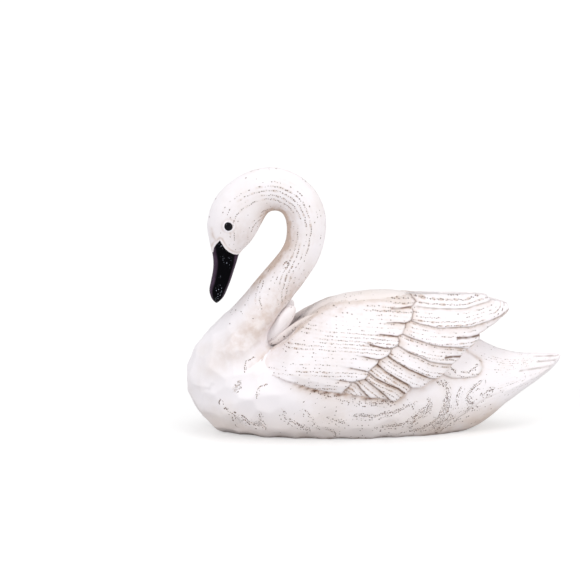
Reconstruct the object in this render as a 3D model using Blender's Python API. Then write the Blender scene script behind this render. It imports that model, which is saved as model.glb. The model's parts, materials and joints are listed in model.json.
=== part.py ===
# A swan figurine cast in one piece, in the manner of a whitewashed wood carving.
# The body, neck, head, bill, eyes, wings and tail are one solid on a flat base.
# Metres, +Z up. The bill points to -X, the tail to +X, and the origin is the middle of
# the bounding box at the level of the base.
import bmesh
import bpy
import numpy as np
from mathutils import Matrix, Vector
from mathutils.bvhtree import BVHTree
from mathutils.geometry import delaunay_2d_cdt

MM = 0.001

# Driving sizes, in millimetres
FLANK_WIDTH = 89.0          # the body across its flanks
BREAST_WIDTH = 66.0         # the body across the breast
NECK_WIDTH = 25.6           # the neck across, halfway up
HEAD_WIDTH = 26.0           # the head across, at the eyes
BILL_WIDTH = 14.0           # the bill across its sides
TAIL_WIDTH = 33.0           # the tail across, where it leaves the rump
WING_SPREAD = 96.0          # across the outside of both wings
BASE_SINK = 8.0             # how much of the belly the flat base takes off
COVERT_RISE = 2.6           # how far the shoulder feathers stand off the flank
FEATHER_STEP = 1.7          # the step from each flight feather down to the next
GROOVE_DEPTH = 1.3          # the cuts between the shoulder feathers
SPLIT_DEPTH = 1.2           # the short nicks in two flight feathers
RUMP_RISE = 1.3             # the feather that lies on the rump, off the flank
EYE_DIAMETER = 5.8
EYE_STAND = 1.1             # how far an eye stands out of the head
EYE_PLACE = (-102.3, 149.0)
SHOULDER_PLACE = (-65.8, 70.0, 19.0)
SHOULDER_SIZE = (19.5, 5.6, 5.0)
SHOULDER_TILT = -46.0       # degrees, the rim of each shoulder rises towards the back
SHOULDER_SWELL = 0.25       # how much fuller its upper end is
STEP_SLOPE = 0.5            # the width of each carved step
SHOULDER_THICKNESS = 13.0   # a wing in front of its filling
WING_FILL_START = -50.0     # behind this a wing is filled to the middle plane
WING_GRID = 5.2             # the spacing of points on a wing, and on a rump feather
RUMP_GRID = 5.0
MIDDLE_LAP = 1.0            # how far a wing's filling runs past the middle plane
PARTING_START = 46.0        # behind this the two wings part
PARTING = 2.4               # the gap between them there

# The sections of the swan from the tail tip, along the body, up the neck and over to the
# bill: back (x, z), underside (x, z), width, where it is widest (-1 low, 1 high).
TAIL_SECTIONS = [
    ((133.4, 52.4), (133.8, 50.2), TAIL_WIDTH * 0.08, 0.0),
    ((129.0, 52.8), (131.0, 45.6), TAIL_WIDTH * 0.26, -0.1),
    ((119.0, 52.8), (120.5, 36.4), TAIL_WIDTH * 0.50, -0.2),
    ((106.0, 53.2), (107.5, 27.2), TAIL_WIDTH * 0.74, -0.26),
    ((92.0, 56.0), (94.0, 17.4), TAIL_WIDTH, -0.26),
]
BODY_SECTIONS = [
    ((78.0, 62.2), (81.0, 6.4), FLANK_WIDTH * 0.50, -0.2),
    ((66.0, 69.0), (68.0, -1.0), FLANK_WIDTH * 0.62, -0.16),
    ((53.0, 77.0), (54.0, -BASE_SINK * 0.6), FLANK_WIDTH * 0.72, -0.14),
    ((40.0, 85.0), (40.0, -BASE_SINK), FLANK_WIDTH * 0.81, -0.12),
    ((29.0, 92.0), (27.0, -BASE_SINK), FLANK_WIDTH * 0.87, -0.16),
    ((23.2, 97.7), (15.0, -BASE_SINK), FLANK_WIDTH * 0.92, -0.2),
    ((10.0, 99.8), (2.0, -BASE_SINK), FLANK_WIDTH * 0.965, -0.2),
    ((-4.0, 99.5), (-14.0, -BASE_SINK), FLANK_WIDTH, -0.2),
    ((-20.0, 97.4), (-31.0, -BASE_SINK * 0.9), FLANK_WIDTH, -0.2),
    ((-33.0, 93.2), (-49.0, -BASE_SINK * 0.8), FLANK_WIDTH * 0.99, -0.18),
    ((-44.0, 86.6), (-68.0, -BASE_SINK * 0.65), FLANK_WIDTH * 0.97, -0.14),
    ((-53.0, 78.0), (-86.0, -BASE_SINK * 0.4), FLANK_WIDTH * 0.93, -0.07),
    ((-60.0, 70.5), (-101.0, -BASE_SINK * 0.1), FLANK_WIDTH * 0.88, 0.0),
]
BREAST_SECTIONS = [
    ((-65.5, 65.5), (-112.0, 3.0), BREAST_WIDTH * 1.15, 0.0),
    ((-69.5, 65.0), (-121.0, 12.0), BREAST_WIDTH * 1.10, 0.0),
    ((-72.5, 67.0), (-127.6, 21.5), BREAST_WIDTH * 1.04, 0.0),
    ((-73.4, 70.0), (-131.0, 32.0), BREAST_WIDTH, 0.0),
    ((-72.6, 74.0), (-131.9, 42.0), BREAST_WIDTH * 0.95, 0.0),
    ((-70.0, 78.5), (-129.2, 53.0), BREAST_WIDTH * 0.88, 0.0),
    ((-66.8, 83.0), (-122.6, 64.0), BREAST_WIDTH * 0.79, 0.0),
    ((-63.0, 87.8), (-112.2, 75.8), BREAST_WIDTH * 0.67, 0.0),
]
NECK_SECTIONS = [
    ((-59.0, 93.2), (-101.2, 86.6), NECK_WIDTH * 1.46, 0.0),
    ((-54.8, 99.2), (-91.2, 97.2), NECK_WIDTH * 1.23, 0.0),
    ((-50.2, 105.2), (-83.6, 106.6), NECK_WIDTH * 1.10, 0.0),
    ((-45.2, 112.4), (-76.2, 115.4), NECK_WIDTH * 1.03, 0.0),
    ((-40.2, 120.4), (-70.4, 122.2), NECK_WIDTH, 0.0),
    ((-36.6, 129.4), (-65.2, 129.0), NECK_WIDTH, 0.0),
    ((-34.4, 139.0), (-62.0, 136.0), NECK_WIDTH, 0.0),
    ((-33.8, 149.0), (-61.1, 143.4), NECK_WIDTH, 0.0),
    ((-35.8, 160.0), (-61.9, 150.4), NECK_WIDTH, 0.0),
    ((-41.2, 171.0), (-63.9, 154.6), NECK_WIDTH, 0.0),
    ((-49.6, 179.4), (-66.4, 156.6), NECK_WIDTH * 0.99, 0.0),
    ((-60.0, 185.0), (-69.2, 157.2), NECK_WIDTH * 0.98, 0.0),
    ((-70.6, 187.4), (-71.6, 157.0), NECK_WIDTH * 0.98, 0.0),
    ((-81.0, 186.6), (-73.8, 156.0), NECK_WIDTH * 0.98, 0.0),
]
HEAD_SECTIONS = [
    ((-91.0, 183.2), (-75.8, 153.8), HEAD_WIDTH * 0.97, 0.0),
    ((-100.0, 177.6), (-77.6, 150.6), HEAD_WIDTH * 0.98, 0.0),
    ((-107.4, 170.8), (-79.6, 146.8), HEAD_WIDTH, 0.0),
    ((-112.8, 162.6), (-82.0, 142.4), HEAD_WIDTH, 0.0),
    ((-115.6, 154.0), (-85.2, 137.2), HEAD_WIDTH * 0.96, 0.0),
    ((-116.5, 146.0), (-88.8, 133.0), HEAD_WIDTH * 0.86, 0.0),
    ((-115.4, 138.0), (-92.6, 129.2), HEAD_WIDTH * 0.74, 0.0),
    ((-113.9, 130.4), (-94.4, 126.2), HEAD_WIDTH * 0.62, 0.0),
]
BILL_SECTIONS = [
    ((-112.8, 122.6), (-96.0, 121.0), BILL_WIDTH * 1.06, -0.1),
    ((-112.9, 115.6), (-98.2, 114.8), BILL_WIDTH, -0.1),
    ((-114.2, 108.4), (-100.4, 108.2), BILL_WIDTH * 0.98, -0.1),
    ((-115.5, 101.6), (-102.8, 102.0), BILL_WIDTH * 0.96, 0.0),
    ((-114.6, 96.8), (-105.0, 97.2), BILL_WIDTH * 0.82, 0.0),
    ((-112.9, 93.8), (-107.6, 94.0), BILL_WIDTH * 0.52, 0.0),
    ((-111.2, 92.2), (-109.6, 92.3), BILL_WIDTH * 0.2, 0.0),
]

# The shield that each wing's feathers lie on: x, top, bottom, its share of the spread.
SHIELD = [
    (-82.0, 63.0, 46.0, 0.62), (-76.0, 69.5, 20.0, 0.68), (-70.0, 73.5, 5.0, 0.85),
    (-62.0, 78.6, -2.0, 0.90), (-55.0, 82.7, -4.0, 0.925), (-48.0, 86.2, -4.0, 0.94),
    (-40.0, 90.2, -4.0, 0.955), (-32.0, 93.7, -5.0, 0.965), (-20.0, 96.4, -6.0, 0.97),
    (0.0, 98.0, -6.0, 0.975), (13.0, 98.3, -4.0, 0.955), (25.0, 98.0, 2.0, 0.92),
    (45.0, 97.6, 14.0, 0.80), (65.0, 97.3, 36.0, 0.59), (78.0, 96.6, 50.0, 0.40),
    (86.0, 93.0, 62.0, 0.28), (95.0, 90.1, 72.0, 0.17),
]

# The outline of a wing in side view and the cuts on it, x and z.
WING_TOP = [
    (-81.3, 53.9), (-79.8, 58.1), (-72.2, 63.0), (-66.6, 66.5), (-61.8, 70.7), (-55.4, 76.7),
    (-49.1, 81.9), (-43.7, 86.2), (-38.7, 89.5), (-31.6, 93.0), (-21.2, 95.1), (-3.8, 96.7),
    (11.1, 97.6), (25.0, 97.7), (46.4, 97.3), (67.6, 97.0), (76.8, 96.5), (80.3, 95.2),
    (81.7, 93.1), (89.5, 91.5), (94.3, 89.8), (95.2, 86.7),
]
WING_REAR = [
    (92.8, 83.4), (89.2, 81.2), (85.1, 78.3), (79.8, 76.0), (76.3, 74.3), (72.0, 72.6),
    (72.5, 70.0), (70.6, 67.5), (63.8, 63.6), (59.3, 60.3), (57.2, 57.3), (52.0, 54.1),
    (49.2, 49.7), (45.0, 47.0), (40.3, 44.9), (34.8, 43.2), (31.7, 40.0), (28.5, 39.3),
    (22.5, 39.9), (18.4, 35.5), (14.6, 32.3), (10.6, 30.2),
]
WING_FOOT = [
    (7.4, 31.5), (0.4, 33.1), (-6.5, 33.8), (-13.4, 34.9), (-25.8, 36.9), (-34.1, 37.9),
    (-40.9, 39.2), (-45.7, 40.3), (-53.2, 42.4), (-60.6, 44.7), (-68.0, 46.8), (-73.3, 48.4),
    (-77.5, 50.3),
]
COVERT_EDGE = [
    (25.0, 97.7), (28.0, 95.1), (24.7, 92.7), (24.9, 89.6), (23.8, 86.2), (22.6, 84.7),
    (18.9, 83.3), (18.8, 81.7), (17.9, 79.9), (16.1, 76.8), (12.8, 75.4), (14.1, 72.6),
    (12.8, 69.6), (8.0, 67.8), (8.0, 65.8), (5.7, 63.1), (0.2, 60.8), (-1.8, 57.8),
    (-6.0, 54.6), (-8.1, 52.7), (-7.4, 51.2), (-10.1, 47.7), (-18.7, 45.7), (-20.4, 43.3),
    (-23.8, 39.8), (-25.8, 36.9),
]
COVERT_CUTS = [
    [(9.7, 91.7), (16.0, 91.7), (24.7, 92.7)], [(6.1, 83.8), (13.0, 83.8), (18.9, 83.3)],
    [(0.8, 77.0), (7.6, 76.3), (12.8, 75.4)], [(-6.4, 70.9), (1.8, 68.6), (8.0, 67.8)],
    [(-11.2, 63.1), (-5.3, 61.8), (0.2, 60.8)], [(-19.8, 55.5), (-10.6, 53.6), (-8.1, 52.7)],
    [(-27.3, 47.2), (-18.7, 45.7)],
]
FEATHER_EDGES = [
    [(24.7, 92.7), (39.2, 91.0), (53.3, 90.2), (62.3, 90.0), (68.9, 91.2), (81.7, 93.1)],
    [(22.6, 84.7), (29.0, 82.4), (36.0, 80.9), (42.9, 79.3), (50.0, 79.2), (64.5, 78.6),
     (72.1, 79.5), (79.8, 80.7), (87.7, 82.6), (95.2, 86.7)],
    [(16.1, 76.8), (22.2, 74.2), (28.4, 72.2), (35.4, 69.4), (42.4, 67.7), (51.8, 66.3),
     (63.8, 63.6)],
    [(12.8, 69.6), (20.5, 65.0), (28.1, 61.7), (35.2, 57.8), (40.0, 56.5), (52.0, 54.1)],
    [(5.7, 63.1), (12.6, 58.3), (20.4, 53.7), (28.2, 49.7), (35.5, 45.9), (40.3, 44.9)],
    [(-1.8, 57.8), (4.9, 52.3), (12.6, 47.1), (20.6, 42.3), (22.5, 39.9)],
    [(-8.1, 52.7), (-2.8, 48.2), (4.9, 43.9), (12.7, 40.4), (18.4, 35.5)],
    [(-10.1, 47.7), (-6.6, 44.7), (-1.2, 40.3), (4.4, 35.4), (7.4, 31.5)],
    [(-18.7, 45.7), (-15.6, 44.4), (-12.8, 40.5), (-6.5, 33.8)],
]
SPLITS = [[(55.4, 72.0), (62.9, 71.4), (72.0, 72.0)], [(46.4, 59.6), (51.1, 59.6), (58.3, 58.8)]]
RUMP_FEATHER = [
    (40.0, 62.0), (43.3, 49.2), (46.4, 45.9), (51.9, 43.4), (61.8, 42.2), (70.0, 42.6),
    (74.0, 45.2), (75.2, 48.0), (73.4, 53.0), (68.0, 57.0), (62.0, 61.0),
]


def clear_scene():
    for obj in list(bpy.data.objects):
        bpy.data.objects.remove(obj, do_unlink=True)


def paint(name, colour, roughness):
    material = bpy.data.materials.new(name)
    material.use_nodes = True
    shader = material.node_tree.nodes["Principled BSDF"]
    shader.inputs["Base Color"].default_value = (*colour, 1.0)
    shader.inputs["Roughness"].default_value = roughness
    shader.inputs["Metallic"].default_value = 0.0
    return material


def add_object(name, mesh, collection):
    obj = bpy.data.objects.new(name, mesh)
    collection.objects.link(obj)
    return obj


def between(rows, t):
    """The row at place t of a list of rows, on a smooth curve through them."""
    last = len(rows) - 1
    i = min(int(t), last - 1)
    u = t - i
    before, here = rows[max(i - 1, 0)], rows[i]
    after, beyond = rows[i + 1], rows[min(i + 2, last)]
    bend = 2 * before - 5 * here + 4 * after - beyond
    swing = 3 * here - before - 3 * after + beyond
    return here + 0.5 * u * (after - before + u * (bend + u * swing))


def add_loft(bm, sections, steps=2, around=30):
    """Skins rings that lie between the back and the underside of each section."""
    rows = np.array([(*back, *under, width, belly) for back, under, width, belly in sections])
    rings = []
    for k in range((len(rows) - 1) * steps + 1):
        bx, bz, ux, uz, width, belly = between(rows, k / steps)
        middle = np.array([bx + ux, 0.0, bz + uz]) / 2
        rise = np.array([bx - ux, 0.0, bz - uz]) / 2
        ring = []
        for a in np.linspace(0, 2 * np.pi, around, endpoint=False):
            side, high = np.cos(a), np.sin(a)
            point = middle + rise * (high + belly * side * side)
            point[1] = max(width, 0.2) / 2 * side
            ring.append(bm.verts.new(Vector(point) * MM))
        rings.append(ring)
    for one, two in zip(rings, rings[1:]):
        for j in range(around):
            n = (j + 1) % around
            bm.faces.new((one[j], one[n], two[n], two[j]))
    bm.faces.new(rings[0][::-1])
    bm.faces.new(rings[-1])


def shield_at(x, z):
    """How far out of the middle plane a wing's surface lies, before its feathers."""
    rows = np.array(SHIELD)
    top = np.interp(x, rows[:, 0], rows[:, 1])
    low = np.interp(x, rows[:, 0], rows[:, 2])
    half = np.interp(x, rows[:, 0], rows[:, 3]) * WING_SPREAD / 2
    high = np.clip((z - (top + low) / 2) / ((top - low) / 2), -0.998, 0.998)
    return half * np.sqrt(1 - high * high)


def measure_to(x, z, line):
    """Distances to a line of points, negative below it."""
    best = np.full(len(x), 1e9)
    signed = np.zeros(len(x))
    for (ax, az), (bx, bz) in zip(line, line[1:]):
        dx, dz = bx - ax, bz - az
        t = np.clip(((x - ax) * dx + (z - az) * dz) / (dx * dx + dz * dz), 0, 1)
        away = np.hypot(x - ax - t * dx, z - az - t * dz)
        side = np.sign(dx * (z - az) - dz * (x - ax))
        closer = away < best
        best = np.where(closer, away, best)
        signed = np.where(closer, side * away, signed)
    return signed


def inside(x, z, outline):
    """True for the points inside a closed outline."""
    found = np.zeros(len(x), bool)
    for (ax, az), (bx, bz) in zip(outline, outline[1:] + outline[:1]):
        spans = (az > z) != (bz > z)
        rise = bz - az if bz != az else 1e-9
        found ^= spans & (x < (bx - ax) * (z - az) / rise + ax)
    return found


def shingle(x, z):
    """The flight feathers: each is highest along its lower edge and steps down there."""
    signed = np.array([measure_to(x, z, edge) for edge in FEATHER_EDGES])
    near = np.argmin(np.abs(signed), axis=0)
    column = np.arange(len(x))
    above = signed[near, column] > 0
    padded = np.vstack([np.full(len(x), 9.0), np.abs(signed), np.full(len(x), 9.0)])
    upper = padded[np.where(above, near, near + 1), column]
    lower = padded[np.where(above, near + 1, near + 2), column]
    return FEATHER_STEP * upper / (upper + lower + 1e-6)


def feather_relief(x, z):
    """The carved height of a wing over its shield."""
    covert = COVERT_EDGE[::-1] + WING_FRONT[::-1]
    relief = shingle(x, z)
    for line in SPLITS:
        relief = relief - SPLIT_DEPTH * np.exp(-(measure_to(x, z, line) / 0.9) ** 2)
    plate = np.full(len(x), COVERT_RISE)
    for line in COVERT_CUTS:
        signed = measure_to(x, z, line)
        under = np.exp(signed / 3.6) * (signed <= 0)
        over = np.exp(-signed / 0.8) * (signed > 0)
        plate = plate - GROOVE_DEPTH * (under + over * 0.5)
    edge = np.abs(measure_to(x, z, COVERT_EDGE))
    plate = plate - 0.5 * np.exp(-edge / 1.2)
    return np.where(inside(x, z, covert), plate, relief)


WING_FRONT = [p for p in WING_FOOT if p[0] < COVERT_EDGE[-1][0]]
WING_FRONT += [p for p in WING_TOP if p[0] < COVERT_EDGE[0][0]]
WING_OUTLINE = WING_TOP + WING_REAR + WING_FOOT


def beside(line, gap):
    """A line drawn again, a small distance to one side of it."""
    points = np.array(line, float)
    along = np.gradient(points, axis=0)
    along /= np.linalg.norm(along, axis=1)[:, None]
    return [tuple(p) for p in points + gap * np.column_stack([-along[:, 1], along[:, 0]])]


def mesh_plate(bm, outline, lines, height, depth, side, grid):
    """A closed plate in side view, as thick as height says, with crisp steps along lines."""
    points = [Vector(p) for p in outline]
    ring = list(range(len(points)))
    edges = []
    for line in lines:
        for gap in (-STEP_SLOPE / 2, STEP_SLOPE / 2):
            start = len(points)
            points += [Vector(p) for p in beside(line, gap)]
            edges += [(i, i + 1) for i in range(start, len(points) - 1)]
    low, high = np.min(outline, axis=0), np.max(outline, axis=0)
    rows = np.arange(low[1] + grid / 2, high[1], grid * 0.87)
    spots = []
    for n, row in enumerate(rows):
        start = low[0] + grid * (0.5 if n % 2 else 0.0)
        spots += [(x, row) for x in np.arange(start, high[0], grid)]
    gx, gz = np.array(spots).T
    keep = inside(gx, gz, outline)
    for line in [outline + outline[:1]] + lines:
        keep &= np.abs(measure_to(gx, gz, line)) > grid * 0.45
    points += [Vector(p) for p in zip(gx[keep], gz[keep])]
    verts, _, faces, _, _, _ = delaunay_2d_cdt(points, edges, [ring], 1, 1e-3)
    x = np.array([v.x for v in verts])
    z = np.array([v.y for v in verts])
    y = height(x, z)
    outer = [bm.verts.new(Vector((a, side * b, c)) * MM) for a, b, c in zip(x, y, z)]
    inner = [bm.verts.new(Vector((a, side * b, c)) * MM) for a, b, c in zip(x, depth(x, y), z)]
    rim = {}
    for face in faces:
        for a, b in zip(face, face[1:] + face[:1]):
            rim[(a, b)] = True
        bm.faces.new([outer[i] for i in face])
        bm.faces.new([inner[i] for i in reversed(face)])
    for a, b in rim:
        if (b, a) not in rim:
            bm.faces.new((outer[b], outer[a], inner[a], inner[b]))


def wing_height(x, z):
    return np.maximum(shield_at(x, z) + feather_relief(x, z) - 0.8, 1.5)


def to_middle(x, y):
    return np.full(len(x), -MIDDLE_LAP)


def wing_depth(x, y):
    depth = np.where(x > WING_FILL_START, -MIDDLE_LAP, y - SHOULDER_THICKNESS)
    return np.where(x > PARTING_START, PARTING / 2, depth)


def make_wing(side):
    """A wing: a curved plate with feathers outside, filled to the middle plane."""
    bm = bmesh.new()
    lines = FEATHER_EDGES + [COVERT_EDGE] + COVERT_CUTS + SPLITS
    mesh_plate(bm, WING_OUTLINE, lines, wing_height, wing_depth, side, WING_GRID)
    return finish_mesh(bm, "wing")


def flank_at(tree, x, z):
    """How far out the body's own side lies."""
    spot, _, _, _ = tree.ray_cast(Vector((x, -200.0, z)) * MM, Vector((0, 1, 0)))
    return -spot.y / MM if spot else 4.0


def surface_of(mesh):
    return BVHTree.FromPolygons([v.co for v in mesh.vertices],
                                [p.vertices for p in mesh.polygons])


def make_rump_feather(side, tree):
    """A feather on the rump: a thin plate that follows the flank under it."""
    def height(x, z):
        return np.array([flank_at(tree, a, c) + RUMP_RISE for a, c in zip(x, z)])

    bm = bmesh.new()
    mesh_plate(bm, RUMP_FEATHER, [], height, to_middle, side, RUMP_GRID)
    return finish_mesh(bm, "rump_feather")


def finish_mesh(bm, name):
    bmesh.ops.dissolve_degenerate(bm, dist=1e-7, edges=bm.edges)
    bmesh.ops.triangulate(bm, faces=bm.faces)
    bmesh.ops.recalc_face_normals(bm, faces=bm.faces)
    mesh = bpy.data.meshes.new(name)
    bm.to_mesh(mesh)
    bm.free()
    return mesh


def make_shoulder(side):
    """The thick rim of a wing's shoulder, beside the foot of the neck."""
    x, z, y = SHOULDER_PLACE
    lean = Matrix.Rotation(np.radians(SHOULDER_TILT), 4, "Y")
    size = Matrix.Diagonal((*(Vector(SHOULDER_SIZE) * MM), 1.0))
    place = Matrix.Translation(Vector((x, side * y, z)) * MM) @ lean @ size
    bm = bmesh.new()
    bmesh.ops.create_uvsphere(bm, u_segments=20, v_segments=14, radius=1.0)
    for vert in bm.verts:
        fuller = 1 + SHOULDER_SWELL * vert.co.x
        vert.co = (vert.co.x, vert.co.y * fuller, vert.co.z * fuller)
    bm.transform(place)
    return finish_mesh(bm, "shoulder")


def make_eye(side, tree):
    x, z = EYE_PLACE
    radius = EYE_DIAMETER / 2 * MM
    deep = radius * 0.62
    out = (flank_at(tree, x, z) + EYE_STAND) * MM - deep
    size = Matrix.Diagonal((radius, deep, radius, 1.0))
    place = Matrix.Translation((x * MM, side * out, z * MM)) @ size
    turn = Matrix.Rotation(np.radians(90), 4, "X")
    bm = bmesh.new()
    bmesh.ops.create_uvsphere(bm, u_segments=18, v_segments=10, radius=1.0, matrix=place @ turn)
    return finish_mesh(bm, "eye")


def make_body():
    bm = bmesh.new()
    sections = TAIL_SECTIONS + BODY_SECTIONS + BREAST_SECTIONS
    add_loft(bm, sections + NECK_SECTIONS + HEAD_SECTIONS + BILL_SECTIONS)
    return finish_mesh(bm, "swan")


def place_base_cut(collection):
    """A block under the figurine that takes its underside off flat."""
    bpy.ops.mesh.primitive_cube_add(size=1.0)
    cutter = bpy.context.active_object
    cutter.name = "base_cut"
    for owner in list(cutter.users_collection):
        owner.objects.unlink(cutter)
    collection.objects.link(cutter)
    cutter.scale = (0.4, 0.2, 0.04)
    cutter.location = (0, 0, -0.02)
    hide(cutter)
    return cutter


def hide(obj):
    obj.hide_render = True
    obj.display_type = "WIRE"


def build():
    clear_scene()
    figurine = bpy.data.collections.new("swan_figurine")
    laid_on = bpy.data.collections.new("laid_on")
    cutters = bpy.data.collections.new("cutters")
    for collection in (figurine, laid_on, cutters):
        bpy.context.scene.collection.children.link(collection)
    body = make_body()
    reach = [v.co.x for v in body.vertices]
    middle = -(min(reach) + max(reach)) / 2
    tree = surface_of(body)
    swan = add_object("swan", body, figurine)
    swan.location.x = middle
    for side, name in ((-1, "left"), (1, "right")):
        for mesh in (make_wing(side), make_shoulder(side), make_rump_feather(side, tree),
                     make_eye(side, tree)):
            piece = add_object(mesh.name + "_" + name, mesh, laid_on)
            piece.location.x = middle
            hide(piece)
    swan.data.materials.append(paint("whitewashed_resin", (0.86, 0.83, 0.80), 0.55))
    swan.data.shade_smooth()
    join = swan.modifiers.new("lay_on", "BOOLEAN")
    join.operation = "UNION"
    join.solver = "EXACT"
    join.operand_type = "COLLECTION"
    join.collection = laid_on
    flat = swan.modifiers.new("flat_base", "BOOLEAN")
    flat.operation = "DIFFERENCE"
    flat.solver = "EXACT"
    flat.object = place_base_cut(cutters)


build()
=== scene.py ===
# %% [markdown]
# # A swan cast in resin to look like whitewashed wood
# The real swan is one casting. A carver's wooden swan was its master, so its surface shows knife
# facets, cut feathers and open wood pores, and thin white paint lies over a brown stain.
# The packed solid gives the size and place of everything. Finer pieces are laid over it here,
# from the same sections and outlines, because a dressed surface needs far more points than a
# solid that has to be weighed and tested.

# %% Load the packed swan
import json
import math
import bmesh
import bpy
import numpy as np
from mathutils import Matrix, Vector
from mathutils.geometry import delaunay_2d_cdt

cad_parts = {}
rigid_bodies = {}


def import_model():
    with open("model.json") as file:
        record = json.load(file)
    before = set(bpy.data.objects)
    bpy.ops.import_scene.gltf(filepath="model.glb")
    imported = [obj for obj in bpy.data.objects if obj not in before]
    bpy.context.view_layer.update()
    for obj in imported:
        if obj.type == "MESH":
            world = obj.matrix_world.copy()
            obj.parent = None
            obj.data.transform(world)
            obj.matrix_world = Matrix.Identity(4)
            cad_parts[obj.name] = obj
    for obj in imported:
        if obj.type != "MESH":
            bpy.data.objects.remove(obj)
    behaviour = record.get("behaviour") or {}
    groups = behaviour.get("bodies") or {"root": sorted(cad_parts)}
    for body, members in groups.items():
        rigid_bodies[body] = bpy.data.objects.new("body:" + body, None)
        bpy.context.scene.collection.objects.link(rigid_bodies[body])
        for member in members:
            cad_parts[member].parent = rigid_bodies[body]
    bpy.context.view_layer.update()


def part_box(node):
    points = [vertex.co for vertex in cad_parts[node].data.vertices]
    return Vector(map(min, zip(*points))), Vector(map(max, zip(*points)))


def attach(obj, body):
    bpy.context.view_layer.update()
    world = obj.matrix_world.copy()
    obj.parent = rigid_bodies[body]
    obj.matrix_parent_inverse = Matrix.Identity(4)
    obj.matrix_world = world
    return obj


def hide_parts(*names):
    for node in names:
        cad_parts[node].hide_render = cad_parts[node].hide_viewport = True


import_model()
swan_low, swan_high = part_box("swan")
print("the solid swan, lowest and highest corners:", swan_low, swan_high)

# %% [markdown]
# ## The sections of the figure
# A swan's body, neck, head and bill follow one bent line, so a row of sections along that line
# says the whole shape. Each section has a point on the back, a point on the underside, its share
# of a width and a number that tells whether it is widest low down or high up. A sculptor works
# the same way with templates. Lengths are in millimetres and are scaled once, in each mesh.

# %% Sizes and sections
MM = 0.001
FLANK_WIDTH = 89.0
BREAST_WIDTH = 66.0
NECK_WIDTH = 25.6
HEAD_WIDTH = 26.0
BILL_WIDTH = 14.0
TAIL_WIDTH = 33.0
WING_SPREAD = 96.0
BASE_SINK = 8.0


def widen(width, rows):
    """Sections as back x, z, underside x, z, width and belly, from their shares of a width."""
    return [(*row[:4], width * row[4], row[5]) for row in rows]


TAIL_SECTIONS = widen(TAIL_WIDTH, [
    (133.4, 52.4, 133.8, 50.2, 0.08, 0.0),
    (129.0, 52.8, 131.0, 45.6, 0.26, -0.1),
    (119.0, 52.8, 120.5, 36.4, 0.50, -0.2),
    (106.0, 53.2, 107.5, 27.2, 0.74, -0.26),
    (92.0, 56.0, 94.0, 17.4, 1.0, -0.26),
])
BODY_SECTIONS = widen(FLANK_WIDTH, [
    (78.0, 62.2, 81.0, 6.4, 0.50, -0.2),
    (66.0, 69.0, 68.0, -1.0, 0.62, -0.16),
    (53.0, 77.0, 54.0, -BASE_SINK * 0.6, 0.72, -0.14),
    (40.0, 85.0, 40.0, -BASE_SINK, 0.81, -0.12),
    (29.0, 92.0, 27.0, -BASE_SINK, 0.87, -0.16),
    (23.2, 97.7, 15.0, -BASE_SINK, 0.92, -0.2),
    (10.0, 99.8, 2.0, -BASE_SINK, 0.965, -0.2),
    (-4.0, 99.5, -14.0, -BASE_SINK, 1.0, -0.2),
    (-20.0, 97.4, -31.0, -BASE_SINK * 0.9, 1.0, -0.2),
    (-33.0, 93.2, -49.0, -BASE_SINK * 0.8, 0.99, -0.18),
    (-44.0, 86.6, -68.0, -BASE_SINK * 0.65, 0.97, -0.14),
    (-53.0, 78.0, -86.0, -BASE_SINK * 0.4, 0.93, -0.07),
    (-60.0, 70.5, -101.0, -BASE_SINK * 0.1, 0.88, 0.0),
])
BREAST_SECTIONS = widen(BREAST_WIDTH, [
    (-65.5, 65.5, -112.0, 3.0, 1.15, 0.0),
    (-69.5, 65.0, -121.0, 12.0, 1.10, 0.0),
    (-72.5, 67.0, -127.6, 21.5, 1.04, 0.0),
    (-73.4, 70.0, -131.0, 32.0, 1.0, 0.0),
    (-72.6, 74.0, -131.9, 42.0, 0.95, 0.0),
    (-70.0, 78.5, -129.2, 53.0, 0.88, 0.0),
    (-66.8, 83.0, -122.6, 64.0, 0.79, 0.0),
    (-63.0, 87.8, -112.2, 75.8, 0.67, 0.0),
])
NECK_SECTIONS = widen(NECK_WIDTH, [
    (-59.0, 93.2, -101.2, 86.6, 1.46, 0.0),
    (-54.8, 99.2, -91.2, 97.2, 1.23, 0.0),
    (-50.2, 105.2, -83.6, 106.6, 1.10, 0.0),
    (-45.2, 112.4, -76.2, 115.4, 1.03, 0.0),
    (-40.2, 120.4, -70.4, 122.2, 1.0, 0.0),
    (-36.6, 129.4, -65.2, 129.0, 1.0, 0.0),
    (-34.4, 139.0, -62.0, 136.0, 1.0, 0.0),
    (-33.8, 149.0, -61.1, 143.4, 1.0, 0.0),
    (-35.8, 160.0, -61.9, 150.4, 1.0, 0.0),
    (-41.2, 171.0, -63.9, 154.6, 1.0, 0.0),
    (-49.6, 179.4, -66.4, 156.6, 0.99, 0.0),
    (-60.0, 185.0, -69.2, 157.2, 0.98, 0.0),
    (-70.6, 187.4, -71.6, 157.0, 0.98, 0.0),
    (-81.0, 186.6, -73.8, 156.0, 0.98, 0.0),
])
HEAD_SECTIONS = widen(HEAD_WIDTH, [
    (-91.0, 183.2, -75.8, 153.8, 0.97, 0.0),
    (-100.0, 177.6, -77.6, 150.6, 0.98, 0.0),
    (-107.4, 170.8, -79.6, 146.8, 1.0, 0.0),
    (-112.8, 162.6, -82.0, 142.4, 1.0, 0.0),
    (-115.6, 154.0, -85.2, 137.2, 0.96, 0.0),
    (-116.5, 146.0, -88.8, 133.0, 0.86, 0.0),
    (-115.4, 138.0, -92.6, 129.2, 0.74, 0.0),
    (-113.9, 130.4, -94.4, 126.2, 0.62, 0.0),
])
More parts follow.
